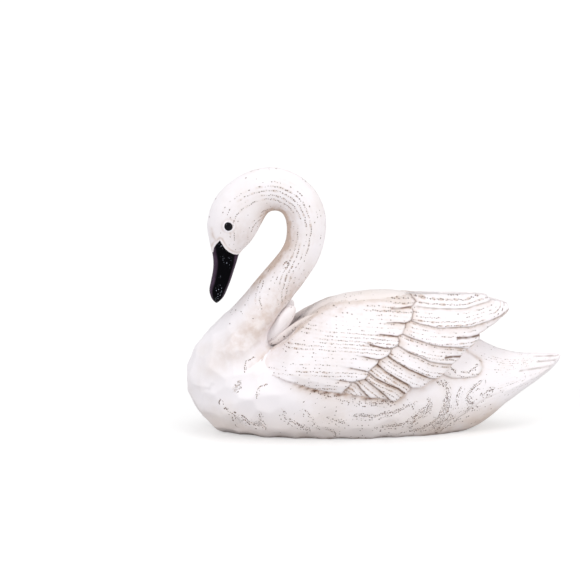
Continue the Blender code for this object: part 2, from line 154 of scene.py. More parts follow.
BILL_SECTIONS = widen(BILL_WIDTH, [
    (-112.8, 122.6, -96.0, 121.0, 1.06, -0.1),
    (-112.9, 115.6, -98.2, 114.8, 1.0, -0.1),
    (-114.2, 108.4, -100.4, 108.2, 0.98, -0.1),
    (-115.5, 101.6, -102.8, 102.0, 0.96, 0.0),
    (-114.6, 96.8, -105.0, 97.2, 0.82, 0.0),
    (-112.9, 93.8, -107.6, 94.0, 0.52, 0.0),
    (-111.2, 92.2, -109.6, 92.3, 0.2, 0.0),
])
FIGURE = [*TAIL_SECTIONS, *BODY_SECTIONS, *BREAST_SECTIONS, *NECK_SECTIONS, *HEAD_SECTIONS,
          *BILL_SECTIONS]
print(len(FIGURE), "sections from the tail tip to the bill tip")

# %% [markdown]
# ## Lines in side view
# The feathers were cut with a knife, so they are lines: outlines, edges and nicks, drawn as a
# pattern on the side of the block. The wing is a shield whose bulge is given along its length.

# %% The wing pattern
# x, top, bottom and share of the wings' spread
SHIELD = [
    (-82.0, 63.0, 46.0, 0.62), (-76.0, 69.5, 20.0, 0.68), (-70.0, 73.5, 5.0, 0.85),
    (-62.0, 78.6, -2.0, 0.90), (-55.0, 82.7, -4.0, 0.925), (-48.0, 86.2, -4.0, 0.94),
    (-40.0, 90.2, -4.0, 0.955), (-32.0, 93.7, -5.0, 0.965), (-20.0, 96.4, -6.0, 0.97),
    (0.0, 98.0, -6.0, 0.975), (13.0, 98.3, -4.0, 0.955), (25.0, 98.0, 2.0, 0.92),
    (45.0, 97.6, 14.0, 0.80), (65.0, 97.3, 36.0, 0.59), (78.0, 96.6, 50.0, 0.40),
    (86.0, 93.0, 62.0, 0.28), (95.0, 90.1, 72.0, 0.17),
]
WING_TOP = [
    (-81.3, 53.9), (-79.8, 58.1), (-72.2, 63.0), (-66.6, 66.5), (-61.8, 70.7), (-55.4, 76.7),
    (-49.1, 81.9), (-43.7, 86.2), (-38.7, 89.5), (-31.6, 93.0), (-21.2, 95.1), (-3.8, 96.7),
    (11.1, 97.6), (25.0, 97.7), (46.4, 97.3), (67.6, 97.0), (76.8, 96.5), (80.3, 95.2),
    (81.7, 93.1), (89.5, 91.5), (94.3, 89.8), (95.2, 86.7),
]
WING_REAR = [
    (92.8, 83.4), (89.2, 81.2), (85.1, 78.3), (79.8, 76.0), (76.3, 74.3), (72.0, 72.6),
    (72.5, 70.0), (70.6, 67.5), (63.8, 63.6), (59.3, 60.3), (57.2, 57.3), (52.0, 54.1),
    (49.2, 49.7), (45.0, 47.0), (40.3, 44.9), (34.8, 43.2), (31.7, 40.0), (28.5, 39.3),
    (22.5, 39.9), (18.4, 35.5), (14.6, 32.3), (10.6, 30.2),
]
WING_FOOT = [
    (7.4, 31.5), (0.4, 33.1), (-6.5, 33.8), (-13.4, 34.9), (-25.8, 36.9), (-34.1, 37.9),
    (-40.9, 39.2), (-45.7, 40.3), (-53.2, 42.4), (-60.6, 44.7), (-68.0, 46.8), (-73.3, 48.4),
    (-77.5, 50.3),
]
COVERT_EDGE = [
    (25.0, 97.7), (28.0, 95.1), (24.7, 92.7), (24.9, 89.6), (23.8, 86.2), (22.6, 84.7),
    (18.9, 83.3), (18.8, 81.7), (17.9, 79.9), (16.1, 76.8), (12.8, 75.4), (14.1, 72.6),
    (12.8, 69.6), (8.0, 67.8), (8.0, 65.8), (5.7, 63.1), (0.2, 60.8), (-1.8, 57.8),
    (-6.0, 54.6), (-8.1, 52.7), (-7.4, 51.2), (-10.1, 47.7), (-18.7, 45.7), (-20.4, 43.3),
    (-23.8, 39.8), (-25.8, 36.9),
]
COVERT_CUTS = [
    [(9.7, 91.7), (16.0, 91.7), (24.7, 92.7)], [(6.1, 83.8), (13.0, 83.8), (18.9, 83.3)],
    [(0.8, 77.0), (7.6, 76.3), (12.8, 75.4)], [(-6.4, 70.9), (1.8, 68.6), (8.0, 67.8)],
    [(-11.2, 63.1), (-5.3, 61.8), (0.2, 60.8)], [(-19.8, 55.5), (-10.6, 53.6), (-8.1, 52.7)],
    [(-27.3, 47.2), (-18.7, 45.7)],
]
FEATHER_EDGES = [
    [(24.7, 92.7), (39.2, 91.0), (53.3, 90.2), (62.3, 90.0), (68.9, 91.2), (81.7, 93.1)],
    [(22.6, 84.7), (29.0, 82.4), (36.0, 80.9), (42.9, 79.3), (50.0, 79.2), (64.5, 78.6),
     (72.1, 79.5), (79.8, 80.7), (87.7, 82.6), (95.2, 86.7)],
    [(16.1, 76.8), (22.2, 74.2), (28.4, 72.2), (35.4, 69.4), (42.4, 67.7), (51.8, 66.3),
     (63.8, 63.6)],
    [(12.8, 69.6), (20.5, 65.0), (28.1, 61.7), (35.2, 57.8), (40.0, 56.5), (52.0, 54.1)],
    [(5.7, 63.1), (12.6, 58.3), (20.4, 53.7), (28.2, 49.7), (35.5, 45.9), (40.3, 44.9)],
    [(-1.8, 57.8), (4.9, 52.3), (12.6, 47.1), (20.6, 42.3), (22.5, 39.9)],
    [(-8.1, 52.7), (-2.8, 48.2), (4.9, 43.9), (12.7, 40.4), (18.4, 35.5)],
    [(-10.1, 47.7), (-6.6, 44.7), (-1.2, 40.3), (4.4, 35.4), (7.4, 31.5)],
    [(-18.7, 45.7), (-15.6, 44.4), (-12.8, 40.5), (-6.5, 33.8)],
]
SPLITS = [[(55.4, 72.0), (62.9, 71.4), (72.0, 72.0)], [(46.4, 59.6), (51.1, 59.6), (58.3, 58.8)]]
RUMP_FEATHER = [
    (40.0, 62.0), (43.3, 49.2), (46.4, 45.9), (51.9, 43.4), (61.8, 42.2), (70.0, 42.6),
    (74.0, 45.2), (75.2, 48.0), (73.4, 53.0), (68.0, 57.0), (62.0, 61.0),
]
WING_OUTLINE = WING_TOP + WING_REAR + WING_FOOT
COVERT_SHAPE = COVERT_EDGE[::-1] + [p for p in WING_TOP if p[0] < COVERT_EDGE[0][0]][::-1]
COVERT_SHAPE += [p for p in WING_FOOT if p[0] < COVERT_EDGE[-1][0]][::-1]
print(len(FEATHER_EDGES), "long feather edges and", len(COVERT_CUTS), "cuts between coverts")

# %% [markdown]
# Wood shows its growth rings where it is carved across. On the flank they nest like the rings of
# a knot, as bands of open pores. These lines say where such bands run in side view, and the white
# paint leaves them grey-brown. Short strokes near the breast are single pores that caught stain.

# %% Bands of pores on the flank and the breast
PORE_BANDS = [
    [(-45.3, 38.4), (-35.0, 35.0), (-24.7, 32.5), (-6.2, 29.4), (9.0, 29.5)],
    [(-15.2, 19.9), (-1.2, 19.3), (10.3, 22.6)], [(12.2, 21.5), (17.0, 24.3), (26.2, 28.4)],
    [(-34.7, 18.8), (-24.3, 15.4), (-14.8, 11.7), (1.6, 10.2), (12.8, 10.9), (23.7, 14.8),
     (31.2, 22.0), (35.9, 25.8), (36.4, 31.7)],
    [(22.8, 11.0), (30.2, 17.8), (35.7, 21.3), (38.4, 25.6)],
    [(17.5, 4.4), (30.8, 6.5), (38.3, 10.7), (43.5, 15.8), (46.4, 22.5), (48.5, 30.5),
     (49.3, 35.9), (45.2, 40.9), (42.0, 42.0)],
    [(39.0, 6.1), (44.9, 12.1), (48.8, 19.4), (50.6, 27.5)],
    [(42.2, 4.2), (47.1, 11.7), (53.8, 19.1), (56.8, 24.7), (56.6, 30.5), (59.1, 35.7)],
    [(47.0, 4.8), (56.5, 14.5), (63.5, 19.9), (65.8, 24.6), (62.4, 29.9), (67.3, 34.0),
     (73.2, 37.9)],
    [(55.3, 10.8), (64.5, 17.1), (71.7, 21.4), (75.8, 25.8), (74.0, 29.3), (82.4, 32.2)],
    [(-107.0, 28.7), (-103.6, 23.3), (-99.0, 21.3), (-97.9, 15.7), (-96.1, 11.2)],
    [(-94.5, 18.7), (-88.6, 13.4), (-82.9, 12.3)], [(-81.9, 21.4), (-82.6, 16.6), (-78.3, 11.1)],
    [(-67.1, 25.2), (-64.7, 18.7), (-54.3, 13.4), (-46.0, 7.4)],
    [(-51.1, 25.3), (-44.0, 14.9), (-34.5, 9.0), (-29.7, 5.8)],
]
THIN_STROKES = [
    [(-99.6, 37.1), (-94.5, 43.9)], [(-99.1, 39.6), (-95.9, 44.4)], [(-97.0, 36.9), (-93.9, 41.4)],
    [(-84.8, 59.6), (-91.3, 57.0), (-91.9, 50.4)], [(-77.2, 43.2), (-83.0, 39.8), (-83.6, 34.1)],
    [(-64.4, 120.6), (-62.0, 122.8), (-60.3, 120.9), (-62.1, 118.8), (-63.7, 119.4)],
    [(49.9, 52.0), (54.1, 47.2)], [(65.3, 47.1), (70.5, 49.7)],
]
# long soft cuts below the rump
STREAKS = [
    [(62.8, 18.1), (74.1, 25.2), (84.1, 28.7), (90.8, 30.3)],
    [(42.2, 4.2), (50.0, 12.5), (58.0, 15.5), (66.0, 20.6)],
    [(30.8, 6.5), (38.3, 10.7), (43.5, 15.8)],
]
# creases and turns of the surface
SHIELD_FRONT = [(-90.0, 52.0), (-81.0, 57.0), (-72.2, 63.0), (-66.6, 66.5), (-58.0, 73.5)]
BREAST_TURN = [(-122.8, 24.0), (-113.9, 24.8), (-105.0, 27.0), (-85.2, 33.2), (-65.9, 36.3)]
BREAST_CREASE = [(-124.8, 38.2), (-120.7, 37.9), (-115.8, 38.1), (-113.8, 42.0)]
TAIL_CREASE = [(124.4, 43.6), (110.3, 36.8), (95.4, 30.9), (80.3, 27.0)]
TAIL_NICKS = [
    [(114.8, 51.6), (131.6, 51.7)], [(115.7, 48.3), (129.8, 48.7)], [(102.9, 42.9), (125.3, 44.8)],
]
print(len(PORE_BANDS), "bands of pores and", len(THIN_STROKES), "single strokes")

# %% [markdown]
# ## Measuring on the pattern
# Everything carved is placed by its distance to one of those lines, so one helper that measures
# signed distances serves the steps, the wash in the recesses and the pores alike. A stripe is
# soft on both sides of a line, and a halo dies away from it.

# %% Helpers that measure
LINE_GAP = 61.0
FAR = 1e9


def line_distance(x, z, line):
    """Distances to a line of points, negative below it, and how far along it."""
    best = np.full(len(x), FAR)
    signed = np.zeros(len(x))
    along = np.zeros(len(x))
    start = 0.0
    for (ax, az), (bx, bz) in zip(line, line[1:]):
        dx, dz = bx - ax, bz - az
        length = math.hypot(dx, dz)
        t = np.clip(((x - ax) * dx + (z - az) * dz) / length ** 2, 0, 1)
        away = np.hypot(x - ax - t * dx, z - az - t * dz)
        side = np.sign(dx * (z - az) - dz * (x - ax))
        closer = away < best
        best = np.where(closer, away, best)
        signed = np.where(closer, side * away, signed)
        along = np.where(closer, start + t * length, along)
        start += length
    return signed, along


def measure_to(x, z, line):
    return line_distance(x, z, line)[0]


def away_from(x, z, line):
    return np.abs(measure_to(x, z, line))


def rim_distance(x, z, outline):
    return away_from(x, z, outline + outline[:1])


def nearest_line(x, z, lines):
    """Along and across the nearest of several lines, each with a stretch of its own."""
    along = np.zeros(len(x))
    across = np.full(len(x), 1e3)
    for number, line in enumerate(lines):
        signed, run = line_distance(x, z, line)
        closer = np.abs(signed) < np.abs(across)
        along = np.where(closer, run + LINE_GAP * number, along)
        across = np.where(closer, signed, across)
    return along, across


def within(x, z, outline):
    """True for the points inside a closed outline."""
    found = np.zeros(len(x), bool)
    for (ax, az), (bx, bz) in zip(outline, outline[1:] + outline[:1]):
        spans = (az > z) != (bz > z)
        rise = bz - az if bz != az else 1 / FAR
        found ^= spans & (x < (bx - ax) * (z - az) / rise + ax)
    return found


def fade(value, start, end):
    """0 before start, 1 after end, and a smooth turn between them."""
    t = np.clip((value - start) / (end - start), 0, 1)
    return t * t * (3 - 2 * t)


def stripe(distance, width):
    return np.exp(-(distance / width) ** 2)


def halo(distance, reach):
    return np.exp(-distance / reach)


def strokes(x, z, lines, width):
    """1 along each of several lines, and soft beside them."""
    return np.maximum.reduce([stripe(measure_to(x, z, line), width) for line in lines])


tip_x, tip_z = np.array(FEATHER_EDGES[1][-1:]).T
tip_along = line_distance(tip_x, tip_z, FEATHER_EDGES[1])[1]
print("the longest feather edge is", tip_along.round(1), "mm long")

# %% [markdown]
# ## Skinning the sections
# A lofted skin could come from a curve with a bevel, but then the width and the height of each
# section couldn't change apart. Here a smooth curve runs through the numbers of the sections,
# and each ring is worked out anywhere along it, which also lets a ring's points run ahead or
# behind, so that the skin of the head can stop exactly at the edge of the bill.

# %% Rings of the figure
ROWS = np.array(FIGURE)
LAST = len(ROWS) - 1
FIRST_BILL = len(ROWS) - len(BILL_SECTIONS)
THINNEST = 0.2
SOLID_STEP = 0.5
SOLID_AROUND = 30


def section_at(t):
    """The numbers of the section at place t, for an array of places."""
    i = np.clip(t.astype(int), 0, LAST - 1)
    u = (t - i)[..., None]
    before, here = ROWS[np.maximum(i - 1, 0)], ROWS[i]
    after, beyond = ROWS[i + 1], ROWS[np.minimum(i + 2, LAST)]
    bend = 2 * before - 5 * here + 4 * after - beyond
    swing = 3 * here - before - 3 * after + beyond
    return here + 0.5 * u * (after - before + u * (bend + u * swing))


def skin_points(t, angle):
    """Points of the skin at places t and angles around, in millimetres."""
    bx, bz, ux, uz, width, belly = np.moveaxis(section_at(t), -1, 0)
    side, high = np.cos(angle), np.sin(angle)
    lift = high + belly * side * side
    x = (bx + ux) / 2 + (bx - ux) / 2 * lift
    z = (bz + uz) / 2 + (bz - uz) / 2 * lift
    y = np.maximum(width, THINNEST) / 2 * side
    return np.stack([x, y, z], axis=-1)


def skin_grid(places, angle_list):
    return skin_points(*np.meshgrid(places, angle_list, indexing="ij"))


def full_turn(count):
    return np.linspace(0, 2 * np.pi, count, endpoint=False)


def outward(grid):
    """The outward direction at each point of a grid of rings."""
    ahead = np.gradient(grid, axis=0)
    around = np.roll(grid, -1, axis=1) - np.roll(grid, 1, axis=1)
    normal = np.cross(ahead, around)
    normal /= np.maximum(np.linalg.norm(normal, axis=-1, keepdims=True), 1 / FAR)
    return normal


solid_places = np.arange(0, LAST + SOLID_STEP / 2, SOLID_STEP)
solid_x = skin_grid(solid_places, full_turn(SOLID_AROUND))[..., 0]
MIDDLE = (swan_low[0] + swan_high[0]) / 2 / MM - (solid_x.min() + solid_x.max()) / 2
print("the figure is moved along by", round(float(MIDDLE), 2), "mm to lie in the frame")

# %% [markdown]
# ## Knife facets
# A knife leaves shallow scoops that meet in soft ridges. A scoop is a shallow bowl around its
# middle, and where bowls meet the lower one wins, so taking the smallest of many bowls gives
# both the hollows and the ridges. A noise texture would give lumps without ridges.

# %% Knife scoops
SCOOP_SPACING = 12.0
SCOOP_LEVEL = 0.6
SCOOP_CAP = 1.6
MOST_TRIED = 6000


def scatter(points, seed):
    """Picks points of a skin that keep a distance from each other."""
    order = np.random.default_rng(seed).permutation(len(points))
    kept = np.empty((0, points.shape[-1]))
    for spot in points[order][:MOST_TRIED]:
        if not len(kept) or ((kept - spot) ** 2).sum(axis=1).min() > SCOOP_SPACING ** 2:
            kept = np.vstack([kept, spot])
    return kept


def scoops(points, middles, reach):
    """Below 0 in the middle of each knife scoop and above 0 at its ridges."""
    nearest = np.full(points.shape[:-1], FAR)
    for middle in middles:
        nearest = np.minimum(nearest, ((points - middle) ** 2).sum(axis=-1))
    return np.minimum(nearest / reach ** 2, SCOOP_CAP) - SCOOP_LEVEL


print("the middles of two scoops lie at least", SCOOP_SPACING, "mm apart")

# %% [markdown]
# ## Making meshes
# The meshes are built from arrays. Each one carries three sets of numbers for the paint: the
# grain (how far along and across the wood, and how many pores), the bands of pores, and the
# marks (cuts with painted shadow lines, stain with painted shade, and warmth with a painted shade
# tint). What comes in pairs is made once for each side.

# %% Mesh helpers
SIDES = (("left", -1), ("right", 1))
PLAIN = (0.0, 0.0, 0.0)


def grid_faces(rings, around, joined=False):
    """Quads between rings of points, and from the last ring to the first if they are joined."""
    quads = []
    for r in range(rings if joined else rings - 1):
        here, ahead = r * around, (r + 1) % rings * around
        for a in range(around):
            n = (a + 1) % around
            quads.append((here + a, ahead + a, ahead + n, here + n))
    return quads


def capped_faces(rings, around):
    """Quads between rings of points, and a cap at each end."""
    last = (rings - 1) * around
    return grid_faces(rings, around) + [tuple(range(around))[::-1],
                                        tuple(range(last, last + around))]


def numbers(*columns):
    """Three numbers for each point, from arrays or plain values."""
    return np.stack(np.broadcast_arrays(*columns), axis=-1)


def tidy_faces(mesh, flat_base):
    """Cuts the base flat where asked, and turns all the faces outward."""
    bm = bmesh.new()
    bm.from_mesh(mesh)
    if flat_base:
        found = bm.verts[:] + bm.edges[:] + bm.faces[:]
        cut = bmesh.ops.bisect_plane(bm, geom=found, plane_co=(0, 0, 0), plane_no=(0, 0, -1),
                                     clear_outer=True)
        rim = [e for e in cut["geom_cut"] if isinstance(e, bmesh.types.BMEdge)]
        bmesh.ops.contextual_create(bm, geom=rim)
    bmesh.ops.triangulate(bm, faces=[f for f in bm.faces if len(f.verts) > 4])
    bmesh.ops.recalc_face_normals(bm, faces=bm.faces)
    bm.to_mesh(mesh)
    bm.free()


def make_piece(name, points, faces, marks, flat_base=False):
    """An object in metres, with the paint's numbers on its points."""
    mesh = bpy.data.meshes.new(name)
    placed = (np.asarray(points) + np.array([MIDDLE, 0.0, 0.0])) * MM
    mesh.from_pydata(placed.tolist(), [], [tuple(f) for f in faces])
    for label, values in marks.items():
        layer = mesh.attributes.new(label, "FLOAT_VECTOR", "POINT")
        values = np.broadcast_to(np.asarray(values, np.float32), (len(points), 3))
        layer.data.foreach_set("vector", values.ravel())
    mesh.shade_smooth()
    piece = bpy.data.objects.new(name, mesh)
    bpy.context.scene.collection.objects.link(piece)
    tidy_faces(mesh, flat_base)
    return piece


def both_sides(kind, make, *details):
    return [make(f"{name}_{kind}", side, *details) for name, side in SIDES]


print("pairs are made for the", SIDES[0][0], "and the", SIDES[1][0], "side")

# %% [markdown]
# ## The edge of the bill
# White paint stops at the bill in a pointed edge, like the feathering of a real swan. The skin of
# the head ends there: for each line that runs along the neck, the place is found where it enters
# the bill's outline, and the last rings are drawn out to that place. The skin then turns in.

# %% Where the head's skin ends
EYE_PLACE = (-101.8, 148.4)
BROW = [(-113.5, 146.0), (-112.6, 141.0), (-110.6, 137.6), (-108.4, 139.8)]
BILL_OUTLINE = [
    (-125.0, 127.4), (-112.8, 128.6), (-112.2, 132.0), (-110.7, 135.0), (-107.9, 138.2),
    (-106.0, 134.9), (-104.4, 132.3), (-102.0, 130.0), (-99.0, 128.1), (-96.6, 127.3),
    (-90.0, 127.1), (-90.0, 80.0), (-125.0, 80.0),
]
AROUND = 192
SEARCH_START = FIRST_BILL - 3.0
SEARCH_STEP = 0.01

angles = full_turn(AROUND)
fine = np.arange(SEARCH_START, LAST, SEARCH_STEP)
search = skin_grid(fine, angles)
in_bill = within(search[..., 0].ravel(), search[..., 2].ravel(), BILL_OUTLINE)
bill_start = fine[np.argmax(in_bill.reshape(search.shape[:2]), axis=0)]
print("the bill starts between sections", bill_start.min().round(2), bill_start.max().round(2))

# %% [markdown]
# ## The body, neck and head
# One skin, as on the casting. Its rings lie close enough for knife facets to show as real shape.
# The knife went deepest on the breast and left the neck smooth. The crease along the tail is a
# ridge raised along a line, and the streaks and the nicks in the tail's tip are cut in.

# %% Carving the body
RING_STEPS = 8
HEAD_START = FIRST_BILL - 4.0
HEAD_RINGS = 60
BODY_SEED = 5
BODY_SCOOP = 7.5
CARVED_FROM, CARVED_TO = -2, 100


def body_places():
    """The place of each ring along the figure, for each line around it."""
    plain = np.arange(0, HEAD_START, 1 / RING_STEPS)
    share = np.linspace(0, 1, HEAD_RINGS)[:, None]
    head = HEAD_START + share * (bill_start[None, :] - HEAD_START)
    return np.vstack([np.repeat(plain[:, None], AROUND, axis=1), head])


def flat_axes(grid):
    return [grid[..., k].ravel() for k in range(3)]


def scoop_depth(x, z):
    """How deep the knife went: most on the breast, less along the foot, least on the neck."""
    front = fade(-x, 40, 85) * fade(-z, -95, -70)
    foot = fade(-z, -34, -18) * fade(-x, -60, 10)
    return (0.18 + 0.85 * np.maximum(front, 0.8 * foot)) * fade(-z, -150, -90)


def carve_body(grid):
    """Moves the skin in and out: knife scoops, creases, streaks and the tail's nicks."""
    x, y, z = flat_axes(grid)
    out = np.abs(y)
    points = grid.reshape(-1, 3)
    middles = scatter(points[(z < CARVED_TO) & (z > CARVED_FROM)], BODY_SEED)
    relief = scoop_depth(x, z) * scoops(points, middles, BODY_SCOOP)
    tail = fade(x, 74, 92) * fade(out, 1.0, 5.0)
    relief += 0.9 * halo(away_from(x, z, TAIL_CREASE), 2.6) * tail
    relief += 0.8 * halo(away_from(x, z, BREAST_TURN), 4.0) * fade(out, 10.0, 20.0)
    crease = measure_to(x, z, BREAST_CREASE)
    relief += 0.9 * halo(np.abs(crease), 3.0) * (crease > 0) * fade(out, 4.0, 12.0)
    for streak in STREAKS:
        relief -= 0.3 * stripe(measure_to(x, z, streak), 0.5) * fade(out, 8.0, 14.0)
    for nick in TAIL_NICKS:
        relief -= 0.45 * stripe(measure_to(x, z, nick), 0.55)
    return relief.reshape(grid.shape[:2])


print("the body has", len(body_places()), "rings of", AROUND, "points")

# %% [markdown]
# The maker's stain stays where the wiping cloth couldn't reach, and the same beige paints shade:
# painted shade under and behind the wing, in front of its shield, in the bend of the neck, along
# the bill's edge and along the base, and stain around the eye, over the bill and on the cheek.
# Each of those places is one line in the list below, and the strongest of them wins. Pores lie in
# rows along the figure.

# %% Paint numbers of the body
STROKE_START = 700
TAIL_RINGS = 7 * RING_STEPS


def body_grain(grid, x, t, turn):
    """Rows of pores: many on the neck and the tail, few on the breast and the face."""
    run = np.cumsum(np.linalg.norm(np.diff(grid, axis=0, prepend=grid[:1]), axis=-1), axis=0)
    along = np.repeat(run.mean(axis=1)[:, None], AROUND, axis=1).ravel()
    girth = np.linalg.norm(np.roll(grid, -1, axis=1) - grid, axis=-1)
    girth[:TAIL_RINGS] = girth[TAIL_RINGS]
    neck = fade(t, 25.0, 29.0)
    breast = fade(-x, 45, 75) * (1 - neck)
    density = 0.10 + 0.55 * neck + 0.25 * fade(x, 60, 95) - 0.10 * breast
    density *= 1 - 0.6 * fade(t, 42.0, 46.0)
    density *= 1 - 0.75 * fade(t, 37.0, 41.0) * fade(turn, -0.1, 0.5)
    return numbers(along, np.cumsum(girth, axis=1).ravel(), density)


def body_bands(x, z, out):
    """Bands of pores on the flank, or a single stroke where that is stronger."""
    band_along, band_across = nearest_line(x, z, PORE_BANDS)
    stroke_along, stroke_across = nearest_line(x, z, THIN_STROKES)
    band = 1.15 * stripe(band_across, 1.7) * (1 - 0.5 * fade(z, 28, 32) * (x < 12))
    stroke = 3.0 * stripe(stroke_across, 0.45)
    use = stroke > band
    return numbers(np.where(use, stroke_along + STROKE_START, band_along),
                   np.where(use, stroke_across, band_across),
                   np.where(use, stroke, band) * fade(out, 5.0, 9.0))


def body_cuts_and_shadow_lines(x, z, out):
    """Umber: painted shadow along the base's rim and under the wing's foot, and the streaks and
    the tail's nicks.
    """
    under = stripe(measure_to(x, z, WING_FOOT) - 0.6, 0.5) * fade(x, -66, -42) * (x < 12)
    return np.maximum.reduce([
        # painted contact shadow along the base's rim
        0.55 * fade(-z, -3.2, -0.6),
        # painted shadow line just under the wing's overhanging foot
        1.3 * under * (out > 20),
        0.3 * strokes(x, z, STREAKS, 0.5) * fade(out, 5.0, 9.0),
        0.6 * strokes(x, z, TAIL_NICKS, 0.5),
    ])


def body_stain_and_shade(x, z, out, t, turn):
    """Beige: the maker's stain, and painted shade in hollows, under the wing and along the base.
    """
    over = measure_to(x, z, SHIELD_FRONT)
    bend = fade(t, 25.0, 32.5) * fade(-t, -43.0, -38.5)
    eye = np.hypot(x - EYE_PLACE[0], z - EYE_PLACE[1])
    return np.maximum.reduce([
        # painted shade with stain under the wing, behind it and around the rump feather
        halo(away_from(x, z, WING_FOOT), 3.0) * fade(x, -72, -50) * (x < 12) * (out > 20),
        halo(away_from(x, z, WING_REAR), 2.2) * (x > 5) * (out > 6),
        0.7 * halo(away_from(x, z, RUMP_FEATHER), 1.2) * (out > 5),
        # painted shade in front of the wing's shield, and beige on the outer side of the neck's
        # foot
        0.75 * halo(np.abs(over), 5.0) * (over > 0) * fade(-x, 54, 60)
        * fade(x, -94, -78) * fade(out, 12, 18),
        0.62 * fade(t, 20.0, 24.0) * fade(-t, -31.0, -26.5) * fade(turn, -0.85, 0.25),
        # painted shade, with stain, on the inner side of the bend of the neck
        fade(-turn, 0.05, 0.9) * bend * (0.55 + 1.5 * fade(-turn, 0.68, 1.0)),
        # painted shade along the bill's edge, and stain over the bill, on the cheek and around the
        # eye
        0.5 * stripe(rim_distance(x, z, BILL_OUTLINE) - 1.9, 0.8) * (z > 120),
        0.7 * halo(away_from(x, z, BROW), 1.1),
        0.42 * halo(np.hypot(x + 93.0, z - 141.0), 10.0),
        0.4 * stripe(eye - 4.9, 0.7) * (t > 38),
        # painted shade along the base, strongest below the rump, and a beige patch low under the
        # rump
        0.6 * fade(x, 48, 80) * fade(-z, -26, -6),
        0.5 * stripe(np.hypot((x - 46.0) / 13.0, (z - 4.0) / 4.5), 1.0) * fade(out, 5.0, 9.0),
        0.22 * fade(-z, -17, -3) * np.maximum(fade(-x, 10, 50), fade(x, 15, 45)),
    ])


def body_marks(grid, places):
    """The paint's numbers for the body, neck and head."""
    x, y, z = flat_axes(grid)
    out, t = np.abs(y), places.ravel()
    turn = np.repeat(np.sin(angles)[None, :], len(grid), axis=0).ravel()
    mantle = (out < 18) * fade(-t, -18.5, -17.0) * fade(-x, -44, -30) * fade(z, 62, 70)
    # the lower body is warmed as a painted shade tint; the mantle's warmth is stain
    warm = np.maximum(mantle, 0.9 * fade(-z, -32, -8))
    return {"grain": body_grain(grid, x, t, turn), "bands": body_bands(x, z, out),
            "marks": numbers(body_cuts_and_shadow_lines(x, z, out), body_stain_and_shade(x, z, out, t, turn), warm)}


print("rows of pores run straight up to ring", TAIL_RINGS, "of the tail")

# %% [markdown]
# At the bill the skin turns in over a small lip, so that no gap can show between white and black.
# The figure is lofted a little below the ground and cut there, which leaves the flat base.

# %% Body skin
LIP_TURN = 0.9
LIP_NARROWING = 0.6
LIP_SHIFT = np.array([1.5, 0.0, 6.0])


def make_body():
    places = body_places()
    grid = skin_points(places, np.repeat(angles[None, :], len(places), axis=0))
    marks = body_marks(grid, places)
    normal = outward(grid)
    grid = grid + normal * carve_body(grid)[..., None]
    lip = grid[-1] - normal[-1] * LIP_TURN
    deep = lip.mean(axis=0) + (lip - lip.mean(axis=0)) * LIP_NARROWING + LIP_SHIFT
    points = np.vstack([grid.reshape(-1, 3), lip, deep])
    marks = {k: np.vstack([v, v[-AROUND:], v[-AROUND:]]) for k, v in marks.items()}
    return make_piece("body", points, capped_faces(len(grid) + 2, AROUND), marks, flat_base=True)


body = make_body()
print("body:", len(body.data.vertices), "points")

# %% [markdown]
# ## The wings
# A wing is a plate cut from its outline, with the feathers stepped into its face. Each flight
# feather is highest along its lower edge, where the knife stopped, and the shoulder feathers are
# one plate with cuts that end in scallops. Towards the breast the plate runs out on the body's
# own skin, and its foot is bevelled, as a carver would thin it.

# %% Carved height of a wing
FEATHER_STEP = 1.45
COVERT_RISE = 2.6
GROOVE_DEPTH = 1.3
SPLIT_DEPTH = 1.2
STEP_SLOPE = 0.42
WING_SEAT = 0.8
THINNEST_WING = 1.5
RIM_RISE = 0.35
BEVEL_WIDTH = 6.0
BEVEL_SLOPE = 0.40
TIP_START, TIP_END = 58.0, 79.0
WING_SEED = 3
WING_SCOOP = 8.0
NO_EDGE = 9.0
SIDE_ARC = 1.5


def shield_at(x, z):
    """How far out of the middle plane a wing's surface lies, before its feathers."""
    rows = np.array(SHIELD)
    top, low, share = [np.interp(x, rows[:, 0], rows[:, k]) for k in (1, 2, 3)]
    high = np.clip((z - (top + low) / 2) / ((top - low) / 2), -0.998, 0.998)
    return share * WING_SPREAD / 2 * np.sqrt(1 - high * high)


def feather_place(x, z):
    """For each point: its feather's number, and the distances to that feather's two edges."""
    signed = np.array([measure_to(x, z, edge) for edge in FEATHER_EDGES])
    near = np.argmin(np.abs(signed), axis=0)
    column = np.arange(len(x))
    above = signed[near, column] > 0
    outer = np.full(len(x), NO_EDGE)
    padded = np.vstack([outer, np.abs(signed), outer])
    feather = np.where(above, near, near + 1)
    return feather, padded[feather, column], padded[feather + 1, column]


def edge_round(distance, radius):
    """How far a rounded edge has dropped at a distance in from it."""
    inwards = np.clip(radius - distance, 0, radius)
    return radius - np.sqrt(radius ** 2 - inwards ** 2)


def wing_relief(x, z):
    """The carved height of a wing over its shield, and which points are on the coverts."""
    _, upper, lower = feather_place(x, z)
    relief = FEATHER_STEP * upper / (upper + lower + 1e-6)
    relief -= 0.5 * edge_round(lower - STEP_SLOPE / 2, 1.3)
    relief -= SPLIT_DEPTH * strokes(x, z, SPLITS, 0.5)
    plate = np.full(len(x), COVERT_RISE)
    for line in COVERT_CUTS:
        signed = measure_to(x, z, line)
        below = halo(-signed, 3.6) * (signed <= 0)
        above = halo(signed, 0.5) * (signed > 0)
        plate -= GROOVE_DEPTH * (below + above * 0.5)
    plate -= 0.7 * edge_round(away_from(x, z, COVERT_EDGE) - STEP_SLOPE / 2, 1.5)
    covert = within(x, z, COVERT_SHAPE)
    return np.where(covert, plate, relief), covert


